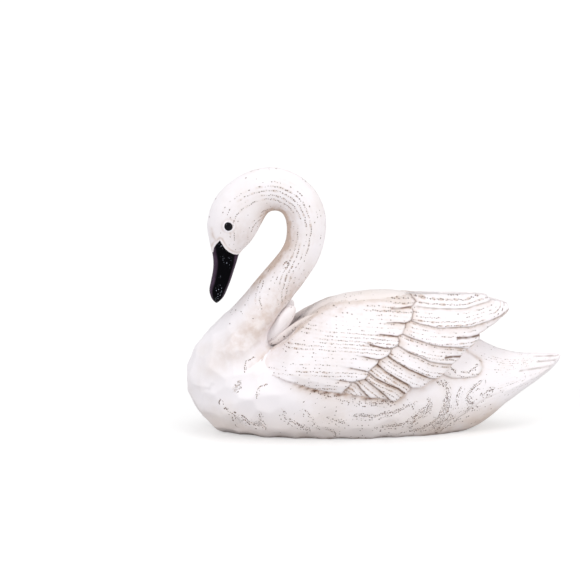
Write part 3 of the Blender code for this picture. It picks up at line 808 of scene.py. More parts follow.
def side_out(x, z, first, last):
    """How far out the figure's own side lies, between two of its sections."""
    grid = skin_grid(np.linspace(first, last, 160),
                     np.linspace(-SIDE_ARC, SIDE_ARC, 120)).reshape(-1, 3)
    out = np.empty(len(x))
    for i, (a, c) in enumerate(zip(x, z)):
        away = (grid[:, 0] - a) ** 2 + (grid[:, 2] - c) ** 2
        near = np.argpartition(away, 6)[:6]
        share = 1 / (away[near] + 0.01)
        out[i] = (grid[near, 1] * share).sum() / share.sum()
    return out


def rim_band(x, z):
    """1 on the rounded band along the upper edge of the coverts, 0 off it."""
    width = 0.7 + 1.3 * fade(x, -45, -15) + 2.0 * fade(x, 8, 20)
    top = away_from(x, z, WING_TOP)
    return fade(-top, -width - 0.5, -width + 0.5) * fade(-x, -25.5, -24.0)


def wing_face(x, z):
    """How far out each point of a wing's face lies, and which points are on the coverts."""
    relief, covert = wing_relief(x, z)
    facets = np.stack([x, z], axis=-1)
    ridge = scoops(facets, scatter(facets[covert], WING_SEED), WING_SCOOP) * covert
    relief += ridge * (0.12 + 0.30 * fade(-z, -72, -50) * fade(-x, 0, 30))
    relief -= 0.8 * edge_round(away_from(x, z, WING_REAR + WING_FOOT), 1.4)
    relief -= 0.25 * edge_round(rim_distance(x, z, WING_OUTLINE), 0.8)
    relief += RIM_RISE * rim_band(x, z)
    bevel = np.clip(BEVEL_WIDTH - away_from(x, z, WING_FOOT), 0, None)
    relief -= BEVEL_SLOPE * bevel * fade(x, -66, -56) * fade(-x, 18, 24)
    out = np.maximum(shield_at(x, z) + relief - WING_SEAT, THINNEST_WING)
    merge = fade(-x, TIP_START, TIP_END)
    front = merge > 0
    skin = np.zeros(len(x))
    skin[front] = side_out(x[front], z[front], 10, 21)
    return out + (skin + 0.15 - out) * merge, covert


print("coverts stand", COVERT_RISE, "mm over the flank")

# %% [markdown]
# Grain on the wing runs level over the coverts and along each flight feather. The stain sits in
# the cuts: dark in the line itself, and a warm beige just below each edge, where a cloth that
# wiped the stain away couldn't reach. The three lists give one number to each flight feather.

# %% Paint numbers of a wing
FEATHER_TILT = [2, 6, 12, 22, 32, 36, 40, 42, 44, 48]
LINE_DEPTH = [0.45, 0.5, 0.6, 0.75, 0.95, 1.15, 1.25, 1.25, 1.15, 1.0]
WASH_DEPTH = [0.4, 0.5, 0.75, 0.9, 1.0, 1.15, 1.25, 1.25, 1.2, 1.0]
ROWS_CLOSER = 1.3
FEATHER_GAP = 40.0
RIM_CREASE = [(-57.5, 75.5), (-49.4, 80.6), (-41.1, 86.8), (-32.8, 90.8), (-24.0, 91.0)]


def wing_grain(x, z, covert, feather, upper, lower):
    tilt = np.radians(np.array(FEATHER_TILT))[feather]
    along = np.where(covert, x + 0.06 * z, x * np.cos(tilt) - z * np.sin(tilt))
    level = z + 0.05 * x + 1.1 * np.sin(x / 17.0) * fade(-z, -90, -60)
    across = np.where(feather == 0, -lower, upper + FEATHER_GAP * feather)
    density = np.where(covert, 0.75 + 0.35 * fade(x, -35, 5), 1.25)
    density = density * fade(np.minimum(upper, lower) + 10 * covert, 0.4, 1.2)
    density = density * (1 - 0.7 * fade(-x, 55, 75))
    density = density * (1 + 0.6 * halo(away_from(x, z, COVERT_EDGE), 8.0) * ~covert)
    return numbers(along, np.where(covert, level, across) * ROWS_CLOSER, density)


def wing_marks(x, z, covert):
    """The paint's numbers for the face of a wing."""
    feather, upper, lower = feather_place(x, z)
    edge = away_from(x, z, COVERT_EDGE)
    depth = np.array(LINE_DEPTH)[feather]
    wash_depth = np.array(WASH_DEPTH)[feather]
    band = rim_band(x, z)
    cut = np.maximum.reduce([
        1.15 * depth * stripe(np.minimum(upper, lower), 0.28 + 0.20 * depth) * ~covert,
        0.75 * stripe(edge, 0.42),
        1.1 * strokes(x, z, COVERT_CUTS, 0.42) * covert,
        1.6 * strokes(x, z, SPLITS, 0.62),
    ])
    stain_and_shade = np.maximum.reduce([
        wash_depth * halo(upper, 1.9) * ~covert,
        (0.45 + 0.4 * (feather > 1)) * halo(edge, 3.6) * ~covert,
        0.5 * halo(away_from(x, z, WING_REAR + WING_FOOT), 0.7),
        0.25 * band + 0.5 * stripe(measure_to(x, z, RIM_CREASE), 0.7),
        # painted shade: the coverts are darker towards the wing's upper edge
        0.38 * halo(away_from(x, z, WING_TOP), 7.0) * covert,
    ])
    for line in COVERT_CUTS:
        signed = measure_to(x, z, line)
        stain_and_shade = np.maximum(stain_and_shade, 0.8 * halo(-signed, 1.5) * (signed <= 0) * covert)
    return {"grain": wing_grain(x, z, covert, feather, upper, lower),
            "bands": np.zeros((len(x), 3)), "marks": numbers(cut, stain_and_shade, 0.9 * band)}


print("the flight feathers tilt from", FEATHER_TILT[0], "to", FEATHER_TILT[-1], "degrees")

# %% [markdown]
# Triangles that follow the feather lines keep each step crisp: the outline, both sides of every
# step and a fine grid of points go into one constrained triangulation, which is what Blender's
# own 2-D mesher is for. The face, the inner side and the rim between them make one closed mesh.

# %% Lay a plate
WING_GRID = 0.72
ROW_SHARE = 0.87
CLEAR_OF_LINES = 0.55
SHOULDER_THICKNESS = 13.0
WING_FILL_START = -50.0
MIDDLE_LAP = 1.0
PARTING_START = 46.0
PARTING = 2.4


def beside(line, gap):
    """A line drawn again, a small distance to one side of it."""
    points = np.array(line, float)
    along = np.gradient(points, axis=0)
    along /= np.linalg.norm(along, axis=1)[:, None]
    return [tuple(p) for p in points + gap * np.column_stack([-along[:, 1], along[:, 0]])]


def finer(line, step, closed=False):
    """The same line with points at most a step apart."""
    ends = line[1:] + line[:1] if closed else line[1:]
    points = [] if closed else [line[0]]
    for a, b in zip(line, ends):
        count = max(1, int(math.dist(a, b) / step))
        points += [tuple(np.array(a) + (np.array(b) - np.array(a)) * k / count)
                   for k in range(1, count + 1)]
    return points


def spots_in(outline, lines, grid):
    """A staggered grid of points inside an outline, clear of the lines."""
    low, high = np.min(outline, axis=0), np.max(outline, axis=0)
    spots = []
    for n, row in enumerate(np.arange(low[1] + grid / 2, high[1], grid * ROW_SHARE)):
        spots += [(x, row) for x in np.arange(low[0] + grid * (0.5 * (n % 2)), high[0], grid)]
    x, z = np.array(spots).T
    keep = within(x, z, outline)
    for line in [outline + outline[:1]] + lines:
        keep &= away_from(x, z, line) > grid * CLEAR_OF_LINES
    return np.array(spots)[keep]


def plate_pattern(outline, lines, grid):
    """The plate in side view: its points, and triangles that keep to the lines."""
    points = [Vector(p) for p in finer(outline, grid, closed=True)]
    ring = list(range(len(points)))
    edges = []
    for line in lines:
        for gap in (-STEP_SLOPE / 2, STEP_SLOPE / 2):
            start = len(points)
            points += [Vector(p) for p in finer(beside(line, gap), grid)]
            edges += [(i, i + 1) for i in range(start, len(points) - 1)]
    points += [Vector(p) for p in spots_in(outline, lines, grid)]
    verts, _, faces, _, _, _ = delaunay_2d_cdt(points, edges, [ring], 1, 1e-4)
    return np.array([v.x for v in verts]), np.array([v.y for v in verts]), faces


def close_plate(faces, count):
    """Faces of the whole plate: outer side, inner side and the rim between them."""
    closed = [tuple(f) for f in faces] + [tuple(count + i for i in f[::-1]) for f in faces]
    rim = {(a, b) for f in faces for a, b in zip(f, f[1:] + f[:1])}
    closed += [(b, a, a + count, b + count) for a, b in sorted(rim) if (b, a) not in rim]
    return closed


def make_plate(name, side, x, z, faces, out, back, marks):
    points = np.vstack([np.column_stack([x, side * y, z]) for y in (out, back)])
    return make_piece(name, points, close_plate(faces, len(x)), marks)


def wing_back(x, y):
    """The inner side: it fills up to the middle, and leaves a parting between the tips."""
    depth = np.where(x > WING_FILL_START, -MIDDLE_LAP, y - SHOULDER_THICKNESS)
    return np.where(x > PARTING_START, PARTING / 2, depth)


def make_wings():
    lines = FEATHER_EDGES + [COVERT_EDGE] + COVERT_CUTS + SPLITS
    x, z, faces = plate_pattern(WING_OUTLINE, lines, WING_GRID)
    y, covert = wing_face(x, z)
    inner = {"grain": PLAIN, "bands": PLAIN, "marks": (0.0, 0.0, 0.5)}
    marks = {k: np.vstack([v, np.tile(inner[k], (len(x), 1))])
             for k, v in wing_marks(x, z, covert).items()}
    return both_sides("wing", make_plate, x, z, faces, y, wing_back(x, y), marks)


wings = make_wings()
print("wings:", [len(w.data.vertices) for w in wings], "points")

# %% [markdown]
# ## Shoulder lobes
# Behind the foot of the neck a leaf-shaped lobe stands on each side, where the wing's shoulder
# ends. A lobe is an egg, drawn out along a line that leans back, and a little fuller on top.

# %% Shoulder lobes
SHOULDER_PLACE = (-66.6, 77.8, 9.8)
SHOULDER_SIZE = (16.8, 5.2, 5.4)
SHOULDER_TILT = -53.0
SHOULDER_SWELL = 0.12
LOBE_RINGS, LOBE_AROUND = 40, 64
POLE_GAP = 0.02


def make_shoulder(name, side):
    x, z, y = SHOULDER_PLACE
    length, width, thickness = SHOULDER_SIZE
    lean = np.radians(SHOULDER_TILT)
    theta = np.linspace(POLE_GAP, np.pi - POLE_GAP, LOBE_RINGS)[:, None]
    phi = full_turn(LOBE_AROUND)[None, :]
    reach = np.cos(theta) * np.ones_like(phi)
    fuller = 1 + SHOULDER_SWELL * reach
    across = side * np.sin(theta) * np.cos(phi) * width * fuller
    thick = np.sin(theta) * np.sin(phi) * thickness * fuller
    reach = reach * length
    points = np.stack([x + reach * np.cos(lean) + thick * np.sin(lean), side * y + across,
                       z - reach * np.sin(lean) + thick * np.cos(lean)], axis=-1).reshape(-1, 3)
    grain = numbers(reach.ravel(), np.tile(phi.ravel() * 5, LOBE_RINGS), 0.15)
    marks = numbers(0.0, 0.4 * fade(-points[:, 2], -74, -62), 0.3)
    return make_piece(name, points, capped_faces(LOBE_RINGS, LOBE_AROUND),
                      {"grain": grain, "bands": PLAIN, "marks": marks})


shoulders = both_sides("shoulder", make_shoulder)
print("shoulder lobes:", [len(s.data.vertices) for s in shoulders], "points")

# %% [markdown]
# ## Rolled edges of the wings
# The wing's front edge is rolled: a smooth bar that starts beside the breast, tapers at both ends
# and dies out in the upper edge. A curve with a round bevel would do, but its bar couldn't be
# flatter one way than the other, so rings are laid here along a smoothed line.

# %% Rolled edges
# x, z, how far out of the middle, and half the thickness
ROLL_LINE = [
    (-75.4, 65.0, 12.5, 0.5), (-72.8, 66.0, 13.4, 1.6), (-69.6, 67.1, 13.6, 2.3),
    (-64.8, 70.4, 13.0, 3.0), (-60.1, 73.7, 12.2, 3.1), (-55.5, 76.9, 11.8, 2.9),
    (-50.9, 80.3, 12.0, 2.5), (-46.6, 83.3, 13.2, 2.0), (-42.7, 85.4, 15.0, 1.3),
    (-39.5, 86.8, 17.0, 0.7),
]
ROLL_RINGS, ROLL_AROUND = 48, 40
ROLL_FLATTER = 0.8
SMOOTHED_OVER = 7


def make_rolled_edge(name, side):
    line = np.array(ROLL_LINE)
    place = np.linspace(0, len(line) - 1, ROLL_RINGS)
    x, z, y, thick = [np.interp(place, np.arange(len(line)), line[:, k]) for k in range(4)]
    smooth = np.ones(SMOOTHED_OVER) / SMOOTHED_OVER
    x, z, y = [np.convolve(np.pad(v, SMOOTHED_OVER // 2, mode="edge"), smooth, mode="valid")
               for v in (x, z, y)]
    middle = np.column_stack([x, y, z])
    ahead = np.gradient(middle, axis=0)
    ahead /= np.linalg.norm(ahead, axis=1)[:, None]
    across = np.cross(ahead, (0.0, 1.0, 0.0))
    across /= np.linalg.norm(across, axis=1)[:, None]
    other = np.cross(ahead, across)
    phi = full_turn(ROLL_AROUND)
    ring = (np.cos(phi)[None, :, None] * across[:, None, :]
            + ROLL_FLATTER * np.sin(phi)[None, :, None] * other[:, None, :])
    points = middle[:, None, :] + ring * thick[:, None, None]
    points[..., 1] *= side
    grain = numbers(np.repeat(place * 6, ROLL_AROUND), np.tile(phi * 2, ROLL_RINGS), 0.2)
    return make_piece(name, points.reshape(-1, 3), capped_faces(ROLL_RINGS, ROLL_AROUND),
                      {"grain": grain, "bands": PLAIN, "marks": (0.0, 0.12, 0.9)})


rolls = both_sides("wing_roll", make_rolled_edge)
print("rolled edges:", [len(r.data.vertices) for r in rolls], "points")

# %% [markdown]
# ## Rump feathers
# On the rump one broad feather lies flat on each side, a thin plate that follows the flank.

# %% Rump feathers
RUMP_RISE = 1.3
RUMP_GRID = 1.1
RUMP_THICKNESS = 5.0


def make_rump_feathers():
    x, z, faces = plate_pattern(RUMP_FEATHER, [], RUMP_GRID)
    rim = rim_distance(x, z, RUMP_FEATHER)
    y = side_out(x, z, 4, 14) + RUMP_RISE - 0.8 * edge_round(rim, 1.1)
    along, across = nearest_line(x, z, THIN_STROKES)
    marks = {"grain": numbers(x - 0.3 * z, z + 0.3 * x, 0.35),
             "bands": numbers(along + STROKE_START, across, stripe(across, 0.8)),
             "marks": numbers(0.0, 0.5 * halo(rim, 0.8), 0.1)}
    marks = {k: np.vstack([v, v]) for k, v in marks.items()}
    return both_sides("rump_feather", make_plate, x, z, faces, y, y - RUMP_THICKNESS, marks)


rump_feathers = make_rump_feathers()
print("rump feathers:", [len(r.data.vertices) for r in rump_feathers], "points")

# %% [markdown]
# ## The bill
# The bill is painted nearly black. Its sides are flat panels, and the ridges front and back of
# them are painted paler, in patches, as a painted highlight. It is its own piece here, so that the
# white edge of the face stands over it as it does on the casting, a third of a millimetre proud.

# %% Bill
BILL_INSET = 0.3
BILL_AROUND = 96
BILL_RINGS = 150
BILL_ROOT = FIRST_BILL - 3.2
PANEL_WIDTH = 1.28
PANEL_SHARE = 0.8


def make_bill():
    angle = full_turn(BILL_AROUND)
    t, a = np.meshgrid(np.linspace(BILL_ROOT, LAST, BILL_RINGS), angle, indexing="ij")
    grid = skin_points(t, a)
    side = np.cos(a)
    panel = fade(t, FIRST_BILL - 1.0, FIRST_BILL + 0.5) * fade(-t, -LAST, -LAST + 1.5)
    flat = np.clip(side * PANEL_WIDTH, -1, 1) / np.where(np.abs(side) < 1e-6, 1, side)
    grid[..., 1] *= 1 + (flat - 1) * panel * PANEL_SHARE
    hide = fade(-t, -FIRST_BILL - 1.6, -FIRST_BILL + 0.4)
    grid = grid - outward(grid) * (BILL_INSET * (0.25 + 0.75 * hide))[..., None]
    # the ridges, which the bill's shader paints paler as a painted highlight
    ridge = fade(np.abs(np.sin(a)), 0.62, 0.80)
    marks = numbers(ridge.ravel(), np.sin(a).ravel(), np.abs(side).ravel())
    return make_piece("bill", grid.reshape(-1, 3), capped_faces(BILL_RINGS, BILL_AROUND),
                      {"marks": marks})


bill = make_bill()
print("bill:", len(bill.data.vertices), "points")

# %% [markdown]
# ## The eyes
# Each eye is a low glossy dome with a thin white lid around it. Both are lathe shapes, so a
# profile is turned about the eye's axis: a closed ring for the lid, an open line for the dome.

# %% Eyes
EYE_DIAMETER = 6.4
EYE_STAND = 1.1
EYE_FLATTER = 0.62
EYE_FOOT = (0.98, -3.0)
EYE_AROUND = 64
LID_GAP = 0.36
LID_SIZE = (0.52, 0.55)
LID_SINK = -0.2


def head_side(x, z):
    """How far out the side of the head lies at the eye."""
    grid = skin_grid(np.linspace(38, 50, 300), np.linspace(-SIDE_ARC, SIDE_ARC, 200))
    grid = grid.reshape(-1, 3)
    away = (grid[:, 0] - x) ** 2 + (grid[:, 2] - z) ** 2
    return grid[np.argmin(away), 1]


def turned(name, side, profile, marks, joined=False):
    """A round piece about the eye's axis, from (radius, height) pairs."""
    x, z = EYE_PLACE
    out = head_side(x, z)
    points = [(x + r * math.cos(p), side * (out + h), z + r * math.sin(p))
              for r, h in profile for p in full_turn(EYE_AROUND)]
    faces = (grid_faces(len(profile), EYE_AROUND, joined=True) if joined
             else capped_faces(len(profile), EYE_AROUND))
    return make_piece(name, points, faces, marks)


def dome_profile():
    radius = EYE_DIAMETER / 2
    height = radius * EYE_FLATTER
    rows = [(radius * math.sin(s), EYE_STAND - height + height * math.cos(s))
            for s in np.linspace(0.03, np.pi / 2, 16)]
    return rows + [(radius * EYE_FOOT[0], EYE_FOOT[1])]


def lid_profile():
    radius = EYE_DIAMETER / 2 + LID_GAP
    wide, high = LID_SIZE
    return [(radius + wide * math.cos(s), LID_SINK + high * math.sin(s)) for s in full_turn(20)]


LID_MARKS = {"grain": PLAIN, "bands": PLAIN, "marks": PLAIN}
eyes = both_sides("eye", turned, dome_profile(), {"marks": PLAIN})
lids = both_sides("eyelid", turned, lid_profile(), LID_MARKS, True)
print("eyes stand", EYE_STAND, "mm out of the head")

# %% [markdown]
# ## Wiring nodes
# Long node trees are easier to read as sums than as boxes. A board puts each new node in the
# next free place and takes numbers and sockets alike, so that a product is one short call.

# %% Node helpers
FLOAT, VECTOR, COLOR = "NodeSocketFloat", "NodeSocketVector", "NodeSocketColor"


class Board:
    """Lays nodes out in columns and wires values, numbers or sockets alike."""

    def __init__(self, tree):
        self.tree = tree
        self.count = 0

    def node(self, kind, **settings):
        self.count += 1
        node = self.tree.nodes.new(kind)
        node.location = (-1200 + 190 * (self.count // 6), 500 - 170 * (self.count % 6))
        for key, value in settings.items():
            setattr(node, key, value)
        return node

    def wire(self, value, socket):
        if isinstance(value, bpy.types.NodeSocket):
            self.tree.links.new(value, socket)
        else:
            socket.default_value = value

    def put(self, kind, inputs, output=0, **settings):
        """A node with its inputs filled by name or number, and the output that is wanted."""
        node = self.node("ShaderNode" + kind, **settings)
        for name, value in inputs.items():
            self.wire(value, node.inputs[name])
        return node.outputs[output]

    def math(self, operation, *values, clamp=False):
        return self.put("Math", dict(enumerate(values)), operation=operation, use_clamp=clamp)

    def times(self, *values, clamp=False):
        product = values[0]
        for value in values[1:]:
            product = self.math("MULTIPLY", product, value, clamp=clamp)
        return product

    def plus(self, a, b, clamp=False):
        return self.math("ADD", a, b, clamp=clamp)

    def minus(self, a, b):
        return self.math("SUBTRACT", a, b)

    def over(self, a, b):
        return self.math("DIVIDE", a, b)

    def ramp(self, value, low, high, to_low=0.0, to_high=1.0, kind="SMOOTHSTEP"):
        return self.put("MapRange", {"Value": value, "From Min": low, "From Max": high,
                                     "To Min": to_low, "To Max": to_high},
                        "Result", interpolation_type=kind, clamp=True)

    def noise(self, vector, scale, detail=2.0, rough=0.5):
        return self.put("TexNoise", {"Vector": vector, "Scale": scale, "Detail": detail,
                                     "Roughness": rough}, "Fac", noise_dimensions="3D")

    def vector(self, *values):
        return self.put("CombineXYZ", dict(enumerate(values)))

    def split(self, vector):
        node = self.node("ShaderNodeSeparateXYZ")
        self.wire(vector, node.inputs[0])
        return node.outputs[0], node.outputs[1], node.outputs[2]

    def random(self, *values):
        node = self.node("ShaderNodeTexWhiteNoise", noise_dimensions="3D")
        self.wire(self.vector(*values), node.inputs["Vector"])
        return node.outputs["Value"], self.split(node.outputs["Color"])

    def mix(self, share, a, b):
        return self.put("Mix", {0: share, 6: a, 7: b}, 2, data_type="RGBA")

    def bump(self, height, strength, depth):
        return self.put("Bump", {"Strength": strength, "Distance": depth, "Height": height})

    def where(self):
        return self.put("TexCoord", {}, "Object")

    def seen(self):
        return self.put("LightPath", {}, "Is Camera Ray")

    def painted(self, label):
        return self.put("Attribute", {}, "Vector", attribute_type="GEOMETRY",
                        attribute_name=label)

    def place(self, group, **values):
        node = self.node("ShaderNodeGroup", node_tree=group)
        for label, value in values.items():
            self.wire(value, node.inputs[label.replace("_", " ")])
        return node.outputs


def new_group(name, inputs, outputs):
    """A shader node group with named inputs and outputs, and a board to build on."""
    tree = bpy.data.node_groups.new(name, "ShaderNodeTree")
    for label, kind, default in inputs:
        socket = tree.interface.new_socket(name=label, in_out="INPUT", socket_type=kind)
        if default is not None:
            socket.default_value = default
    for label, kind in outputs:
        tree.interface.new_socket(name=label, in_out="OUTPUT", socket_type=kind)
    board = Board(tree)
    return tree, board, board.node("NodeGroupInput").outputs, board.node("NodeGroupOutput").inputs


calls = [name for name in vars(Board) if not name.startswith("_")]
print("a board has", len(calls), "kinds of call")

# %% [markdown]
# ## Wood pores
# Pores are short dark dots that lie in rows along the grain. A noise texture makes clouds, not
# rows, so this group counts: it finds the row and the place in the row, draws a random number
# for each, and puts a dot there or leaves it out. The resin uses it twice, for the plain grain
# and for the bands, each with its own spacing. Stain gathers along rows that hold many pores.

# %% Wood pores group
def build_pores():
    tree, board, given, result = new_group(
        "wood_pores",
        [("Grain", VECTOR, None), ("Row Spacing", FLOAT, 3.0), ("Pore Pitch", FLOAT, 1.5),
         ("Pore Size", FLOAT, 0.3), ("Wander", FLOAT, 1.2), ("Scatter", FLOAT, 0.3),
         ("Seed", FLOAT, 1.0)],
        [("Pores", FLOAT), ("Stain", FLOAT)])
    spacing, pitch, seed = given["Row Spacing"], given["Pore Pitch"], given["Seed"]
    times, plus, minus, over = board.times, board.plus, board.minus, board.over
    along, across, density = board.split(given["Grain"])
    # rows that wander a little, numbered across the grain
    drift = board.noise(board.vector(times(along, 0.06), times(across, 0.09), seed), 1.0)
    across = plus(across, times(minus(drift, 0.5), given["Wander"]))
    row = board.math("ROUND", over(across, spacing))
    off = minus(across, times(row, spacing))
    row_random, _ = board.random(row, seed, 3.7)
    # cells along each row, with a pore somewhere near the middle of each
    step = plus(over(along, pitch), times(row_random, 37.0))
    cell = board.math("FLOOR", step)
    inner = times(minus(minus(step, cell), 0.5), pitch)
    chance, (r1, r2, r3) = board.random(row, cell, seed)
    dx = plus(inner, times(times(minus(r1, 0.5), 0.5), pitch))
    dy = plus(off, times(times(minus(r2, 0.5), given["Scatter"]), spacing))
    long_way = over(dx, 1.35)
    reach = board.math("SQRT", plus(times(long_way, long_way), times(dy, dy)))
    size = times(given["Pore Size"], plus(0.55, r3))
    dot = board.ramp(reach, times(size, 0.55), size, 1.0, 0.0)
    # how many of the cells hold one: in patches, and more in some rows than in others
    patch = board.noise(board.vector(times(along, 0.035), times(across, 0.12), row_random), 1.0)
    patch = times(board.ramp(patch, 0.34, 0.58, 0.10, 1.2),
                  board.ramp(row_random, 0.20, 0.75, 0.30, 1.5))
    wanted = times(density, patch)
    board.wire(times(dot, board.math("LESS_THAN", chance, wanted)), result["Pores"])
    # stain along the rows
    band = board.ramp(over(board.math("ABSOLUTE", off), spacing), 0.08, 0.42, 1.0, 0.0)
    run = board.noise(board.vector(times(along, 0.22), row, seed), 1.0)
    stain = times(times(band, board.ramp(run, 0.40, 0.75)), wanted, clamp=True)
    board.wire(stain, result["Stain"])
    return tree


pores = build_pores()
print(pores.name, "has", len(pores.nodes), "nodes")

# %% [markdown]
# ## Whitewash over stain
# The maker stained the casting brown, wiped it, and brushed thin white over the high places.
# So the colour is built in that order: white, warmed in patches and warmed low down as a painted
# shade tint, beige where the wiping missed and as painted shade in hollows, and dark in the cuts
# and pores and in painted shadow lines.

# %% Whitewash group
def build_whitewash():
    tree, board, given, result = new_group(
        "whitewash",
        [("Marks", VECTOR, None), ("Position", VECTOR, None), ("Pores", FLOAT, 0.0),
         ("Stain", FLOAT, 0.0), ("White", COLOR, (0.9, 0.87, 0.9, 1)),
         ("Warm", COLOR, (0.80, 0.735, 0.71, 1)), ("Beige", COLOR, (0.50, 0.355, 0.265, 1)),
         ("Dark", COLOR, (0.12, 0.07, 0.05, 1)), ("Umber", COLOR, (0.16, 0.072, 0.036, 1))],
        [("Color", COLOR), ("Roughness", FLOAT), ("Height", FLOAT)])
    times, plus = board.times, board.plus
    cut, stain_and_shade, warm = board.split(given["Marks"])
    cloud = board.noise(given["Position"], 38.0, 4.0, 0.55)
    mottle = board.noise(given["Position"], 160.0, 3.0, 0.6)
    brush = board.noise(given["Position"], 620.0, 2.0, 0.6)
    # Warm is a warm tone in patches, and low on the body a painted shade tint
    warmth = plus(times(warm, 0.75), board.ramp(cloud, 0.42, 0.75, 0, 0.5), clamp=True)
    colour = board.mix(warmth, given["White"], given["Warm"])
    # beige: stain, and painted shade under parts and in hollows
    stained_and_shaded = times(stain_and_shade, board.ramp(mottle, 0.3, 0.68, 0.5, 1.2))
    stained_and_shaded = plus(stained_and_shaded, times(given["Stain"], 0.7), clamp=True)
    colour = board.mix(times(stained_and_shaded, 0.8), colour, given["Beige"])
    # umber: stain in the cuts, and painted shadow lines at the base and under the wing
    line = times(cut, board.ramp(mottle, 0.35, 0.62, 0.45, 1.15), clamp=True)
    colour = board.mix(times(line, 0.85), colour, given["Umber"])
    colour = board.mix(times(given["Pores"], 0.9), colour, given["Dark"])
    board.wire(colour, result["Color"])
    rough = plus(board.ramp(mottle, 0.3, 0.7, 0.5, 0.66), times(given["Pores"], 0.25), clamp=True)
    board.wire(rough, result["Roughness"])
    height = plus(times(brush, 0.25), times(mottle, 0.6))
    board.wire(board.minus(height, times(given["Pores"], 1.6)), result["Height"])
    return tree


whitewash = build_whitewash()
print(whitewash.name, "has", len(whitewash.nodes), "nodes")

# %% [markdown]
# ## The finishes
# Each material keeps its own shader. Numbers that are the same all over are set on it, and only
# what changes over the surface comes from the groups. The bill has a painted highlight in patches
# along its ridges and painted glints, fine bluish-white dots, on its flat sides, and the eye is
# glossy black.

# %% Materials
def new_finish(name):
    finish = bpy.data.materials.new(name)
    finish.use_nodes = True
    return finish, Board(finish.node_tree), finish.node_tree.nodes["Principled BSDF"].inputs


def build_resin():
    finish, board, shader = new_finish("whitewashed_resin")
    where = board.where()
    rows = board.place(pores, Grain=board.painted("grain"), Row_Spacing=3.1, Pore_Pitch=1.55,
                       Pore_Size=0.36, Wander=1.6, Seed=1.0)
    bands = board.place(pores, Grain=board.painted("bands"), Row_Spacing=1.15, Pore_Pitch=1.45,
                        Pore_Size=0.42, Wander=0.7, Scatter=0.9, Seed=5.0)
    dots = board.math("MAXIMUM", rows["Pores"], bands["Pores"])
    stains = board.math("MAXIMUM", rows["Stain"], bands["Stain"])
    paint = board.place(whitewash, Marks=board.painted("marks"), Position=where, Pores=dots,
                        Stain=stains)
    board.wire(paint["Color"], shader["Base Color"])
    board.wire(paint["Roughness"], shader["Roughness"])
    board.wire(board.bump(paint["Height"], 0.5, 0.00018), shader["Normal"])
    return finish


def build_bill_paint():
    finish, board, shader = new_finish("bill_paint")
    where = board.where()
    ridge, _, side = board.split(board.painted("marks"))
    bill_patches = board.ramp(board.noise(where, 300.0, 3.0, 0.6), 0.3, 0.7, 0.55, 1.0)
    # the ridges painted paler in patches: a painted highlight
    colour = board.mix(board.times(ridge, bill_patches), (0.0006, 0.0005, 0.0014, 1),
                       (0.075, 0.046, 0.078, 1))
    # painted glints: fine bluish-white dots in patches on the bill's flat sides
    glint_cells = board.node("ShaderNodeTexVoronoi", feature="F1")
    board.wire(where, glint_cells.inputs["Vector"])
    board.wire(1050.0, glint_cells.inputs["Scale"])
    painted_glints = board.ramp(glint_cells.outputs["Distance"], 0.16, 0.34, 1.0, 0.0)
    patchy = board.ramp(board.noise(where, 110.0, 1.0), 0.42, 0.58)
    few = board.math("GREATER_THAN", board.split(glint_cells.outputs["Color"])[0], 0.30)
    zone = board.times(board.ramp(side, 0.88, 0.97), patchy)
    painted_glints = board.times(painted_glints, few, zone)
    colour = board.mix(board.times(painted_glints, 0.8), colour, (0.45, 0.5, 0.6, 1))
    board.wire(colour, shader["Base Color"])
    board.wire(board.ramp(bill_patches, 0.55, 1.0, 0.32, 0.48), shader["Roughness"])
    board.wire(board.bump(bill_patches, 0.35, 0.0001), shader["Normal"])
    shader["Specular IOR Level"].default_value = 0.05
    return finish


def build_eye_paint():
    finish, board, shader = new_finish("eye_paint")
    haze = board.noise(board.where(), 500.0, 3.0, 0.5)
    colour = board.mix(board.ramp(haze, 0.3, 0.7), (0.002, 0.002, 0.003, 1),
                       (0.006, 0.005, 0.007, 1))
    board.wire(colour, shader["Base Color"])
    board.wire(board.ramp(haze, 0.3, 0.7, 0.05, 0.10), shader["Roughness"])
    board.wire(board.bump(haze, 0.1, 0.00004), shader["Normal"])
    shader["Specular IOR Level"].default_value = 0.14
    return finish


whitewashed = [body, *wings, *shoulders, *rolls, *rump_feathers, *lids]
for finish, painted_pieces in ((build_resin(), whitewashed), (build_bill_paint(), [bill]),
                               (build_eye_paint(), eyes)):
    for piece in painted_pieces:
        piece.data.materials.append(finish)
    print(finish.name, "is on", len(painted_pieces), "pieces")

# %% [markdown]
# ## Putting the pieces on the frame
# The swan has no joints, so all pieces ride on the root. Together they stand for the one solid.

# %% Ride on the frame
for piece in [*whitewashed, bill, *eyes]:
    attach(piece, "root")
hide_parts("swan")

# %% [markdown]
# ## Floor and light
# A pale floor and a pale surround give the soft, nearly shadowless light of a product picture.
# A large lamp high on the left models the breast and the wing, a weaker one fills the right, a
# wide one hangs overhead, and a low one lifts the shade along the base. Floor and surround look
# brighter to the camera than they shine, so the background is white and the swan keeps its shade.

# %% Studio
FLOOR_REACH = 8.0
MIDDLE_OF_SWAN = (0, 0, 0.08)
LAMPS = [
    ("key_softbox", (-1.45, -1.15, 1.05), MIDDLE_OF_SWAN, 0.7, 15.0, (1.0, 0.985, 1.0)),
    ("fill_softbox", (1.4, -0.9, 0.9), MIDDLE_OF_SWAN, 1.0, 10.6, (1.0, 0.978, 0.962)),
    ("top_softbox", (0.1, 0.1, 1.7), MIDDLE_OF_SWAN, 1.5, 8.6, (1.0, 0.99, 0.99)),
    ("low_card", (1.0, -1.15, 0.2), (0.05, 0, 0.03), 0.8, 3.2, (1.0, 0.975, 0.965)),
]
SURROUND_LIGHT, SURROUND_SEEN = 0.555, 1.05


def add_to_scene(name, data):
    thing = bpy.data.objects.new(name, data)
    bpy.context.scene.collection.objects.link(thing)
    return thing


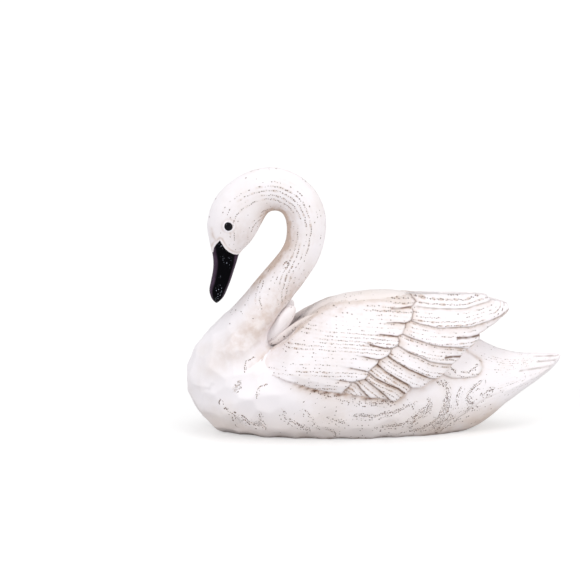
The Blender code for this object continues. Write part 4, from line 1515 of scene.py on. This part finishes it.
def make_floor():
    mesh = bpy.data.meshes.new("floor")
    corners = [(-1, -1), (1, -1), (1, 1), (-1, 1)]
    mesh.from_pydata([(x * FLOOR_REACH, y * FLOOR_REACH, 0) for x, y in corners], [],
                     [(0, 1, 2, 3)])
    floor = add_to_scene("floor", mesh)
    paper, board, shader = new_finish("pale_floor")
    shader["Base Color"].default_value = (0.62, 0.62, 0.62, 1)
    shader["Roughness"].default_value = 0.8
    shader["Emission Color"].default_value = (1.0, 1.0, 1.0, 1)
    away = board.put("VectorMath", {0: board.where()}, "Value", operation="LENGTH")
    glow = board.ramp(away, 0.3, 2.2, 0.42, 0.74)
    board.wire(board.times(glow, board.seen()), shader["Emission Strength"])
    mesh.materials.append(paper)
    return floor


def make_lamp(name, place, aim, size, watts, colour):
    data = bpy.data.lights.new(name, "AREA")
    data.shape = "SQUARE"
    data.size = size
    data.energy = watts
    data.color = colour
    lamp = add_to_scene(name, data)
    lamp.location = place
    lamp.rotation_euler = (Vector(aim) - Vector(place)).to_track_quat("-Z", "Y").to_euler()


def make_surround():
    world = bpy.data.worlds.new("surround")
    world.use_nodes = True
    surround = world.node_tree.nodes["Background"].inputs
    surround["Color"].default_value = (1.0, 1.0, 1.0, 1)
    board = Board(world.node_tree)
    strength = board.ramp(board.seen(), 0.0, 1.0, SURROUND_LIGHT, SURROUND_SEEN, "LINEAR")
    board.wire(strength, surround["Strength"])
    bpy.context.scene.world = world


floor = make_floor()
for lamp in LAMPS:
    make_lamp(*lamp)
make_surround()
bpy.context.scene.view_settings.view_transform = "Standard"

# %% [markdown]
# ## Camera
# The picture was taken from a little above and nearly square to the side, with a long lens. The
# lens and the aim come from where the swan's outline lies in the photograph.

# %% Camera
AZIMUTH = math.radians(-3.0)
ELEVATION = math.radians(12.0)
DISTANCE = 1.3
LENS = 115.139
TARGET = Vector((-0.0600, 0.0, 0.1006))


def make_camera():
    data = bpy.data.cameras.new("camera")
    data.sensor_width = 36.0
    data.lens = LENS
    data.clip_end = 50.0
    camera = add_to_scene("camera", data)
    back = Vector((math.sin(AZIMUTH) * math.cos(ELEVATION),
                   -math.cos(AZIMUTH) * math.cos(ELEVATION), math.sin(ELEVATION)))
    camera.location = TARGET + back * DISTANCE
    camera.rotation_euler = (-back).to_track_quat("-Z", "Y").to_euler()
    bpy.context.scene.camera = camera
    return camera


camera = make_camera()
print("camera at", [round(c, 3) for c in camera.location])

# %% [markdown]
# ## Finish

# %% Update the scene
bpy.context.view_layer.update()
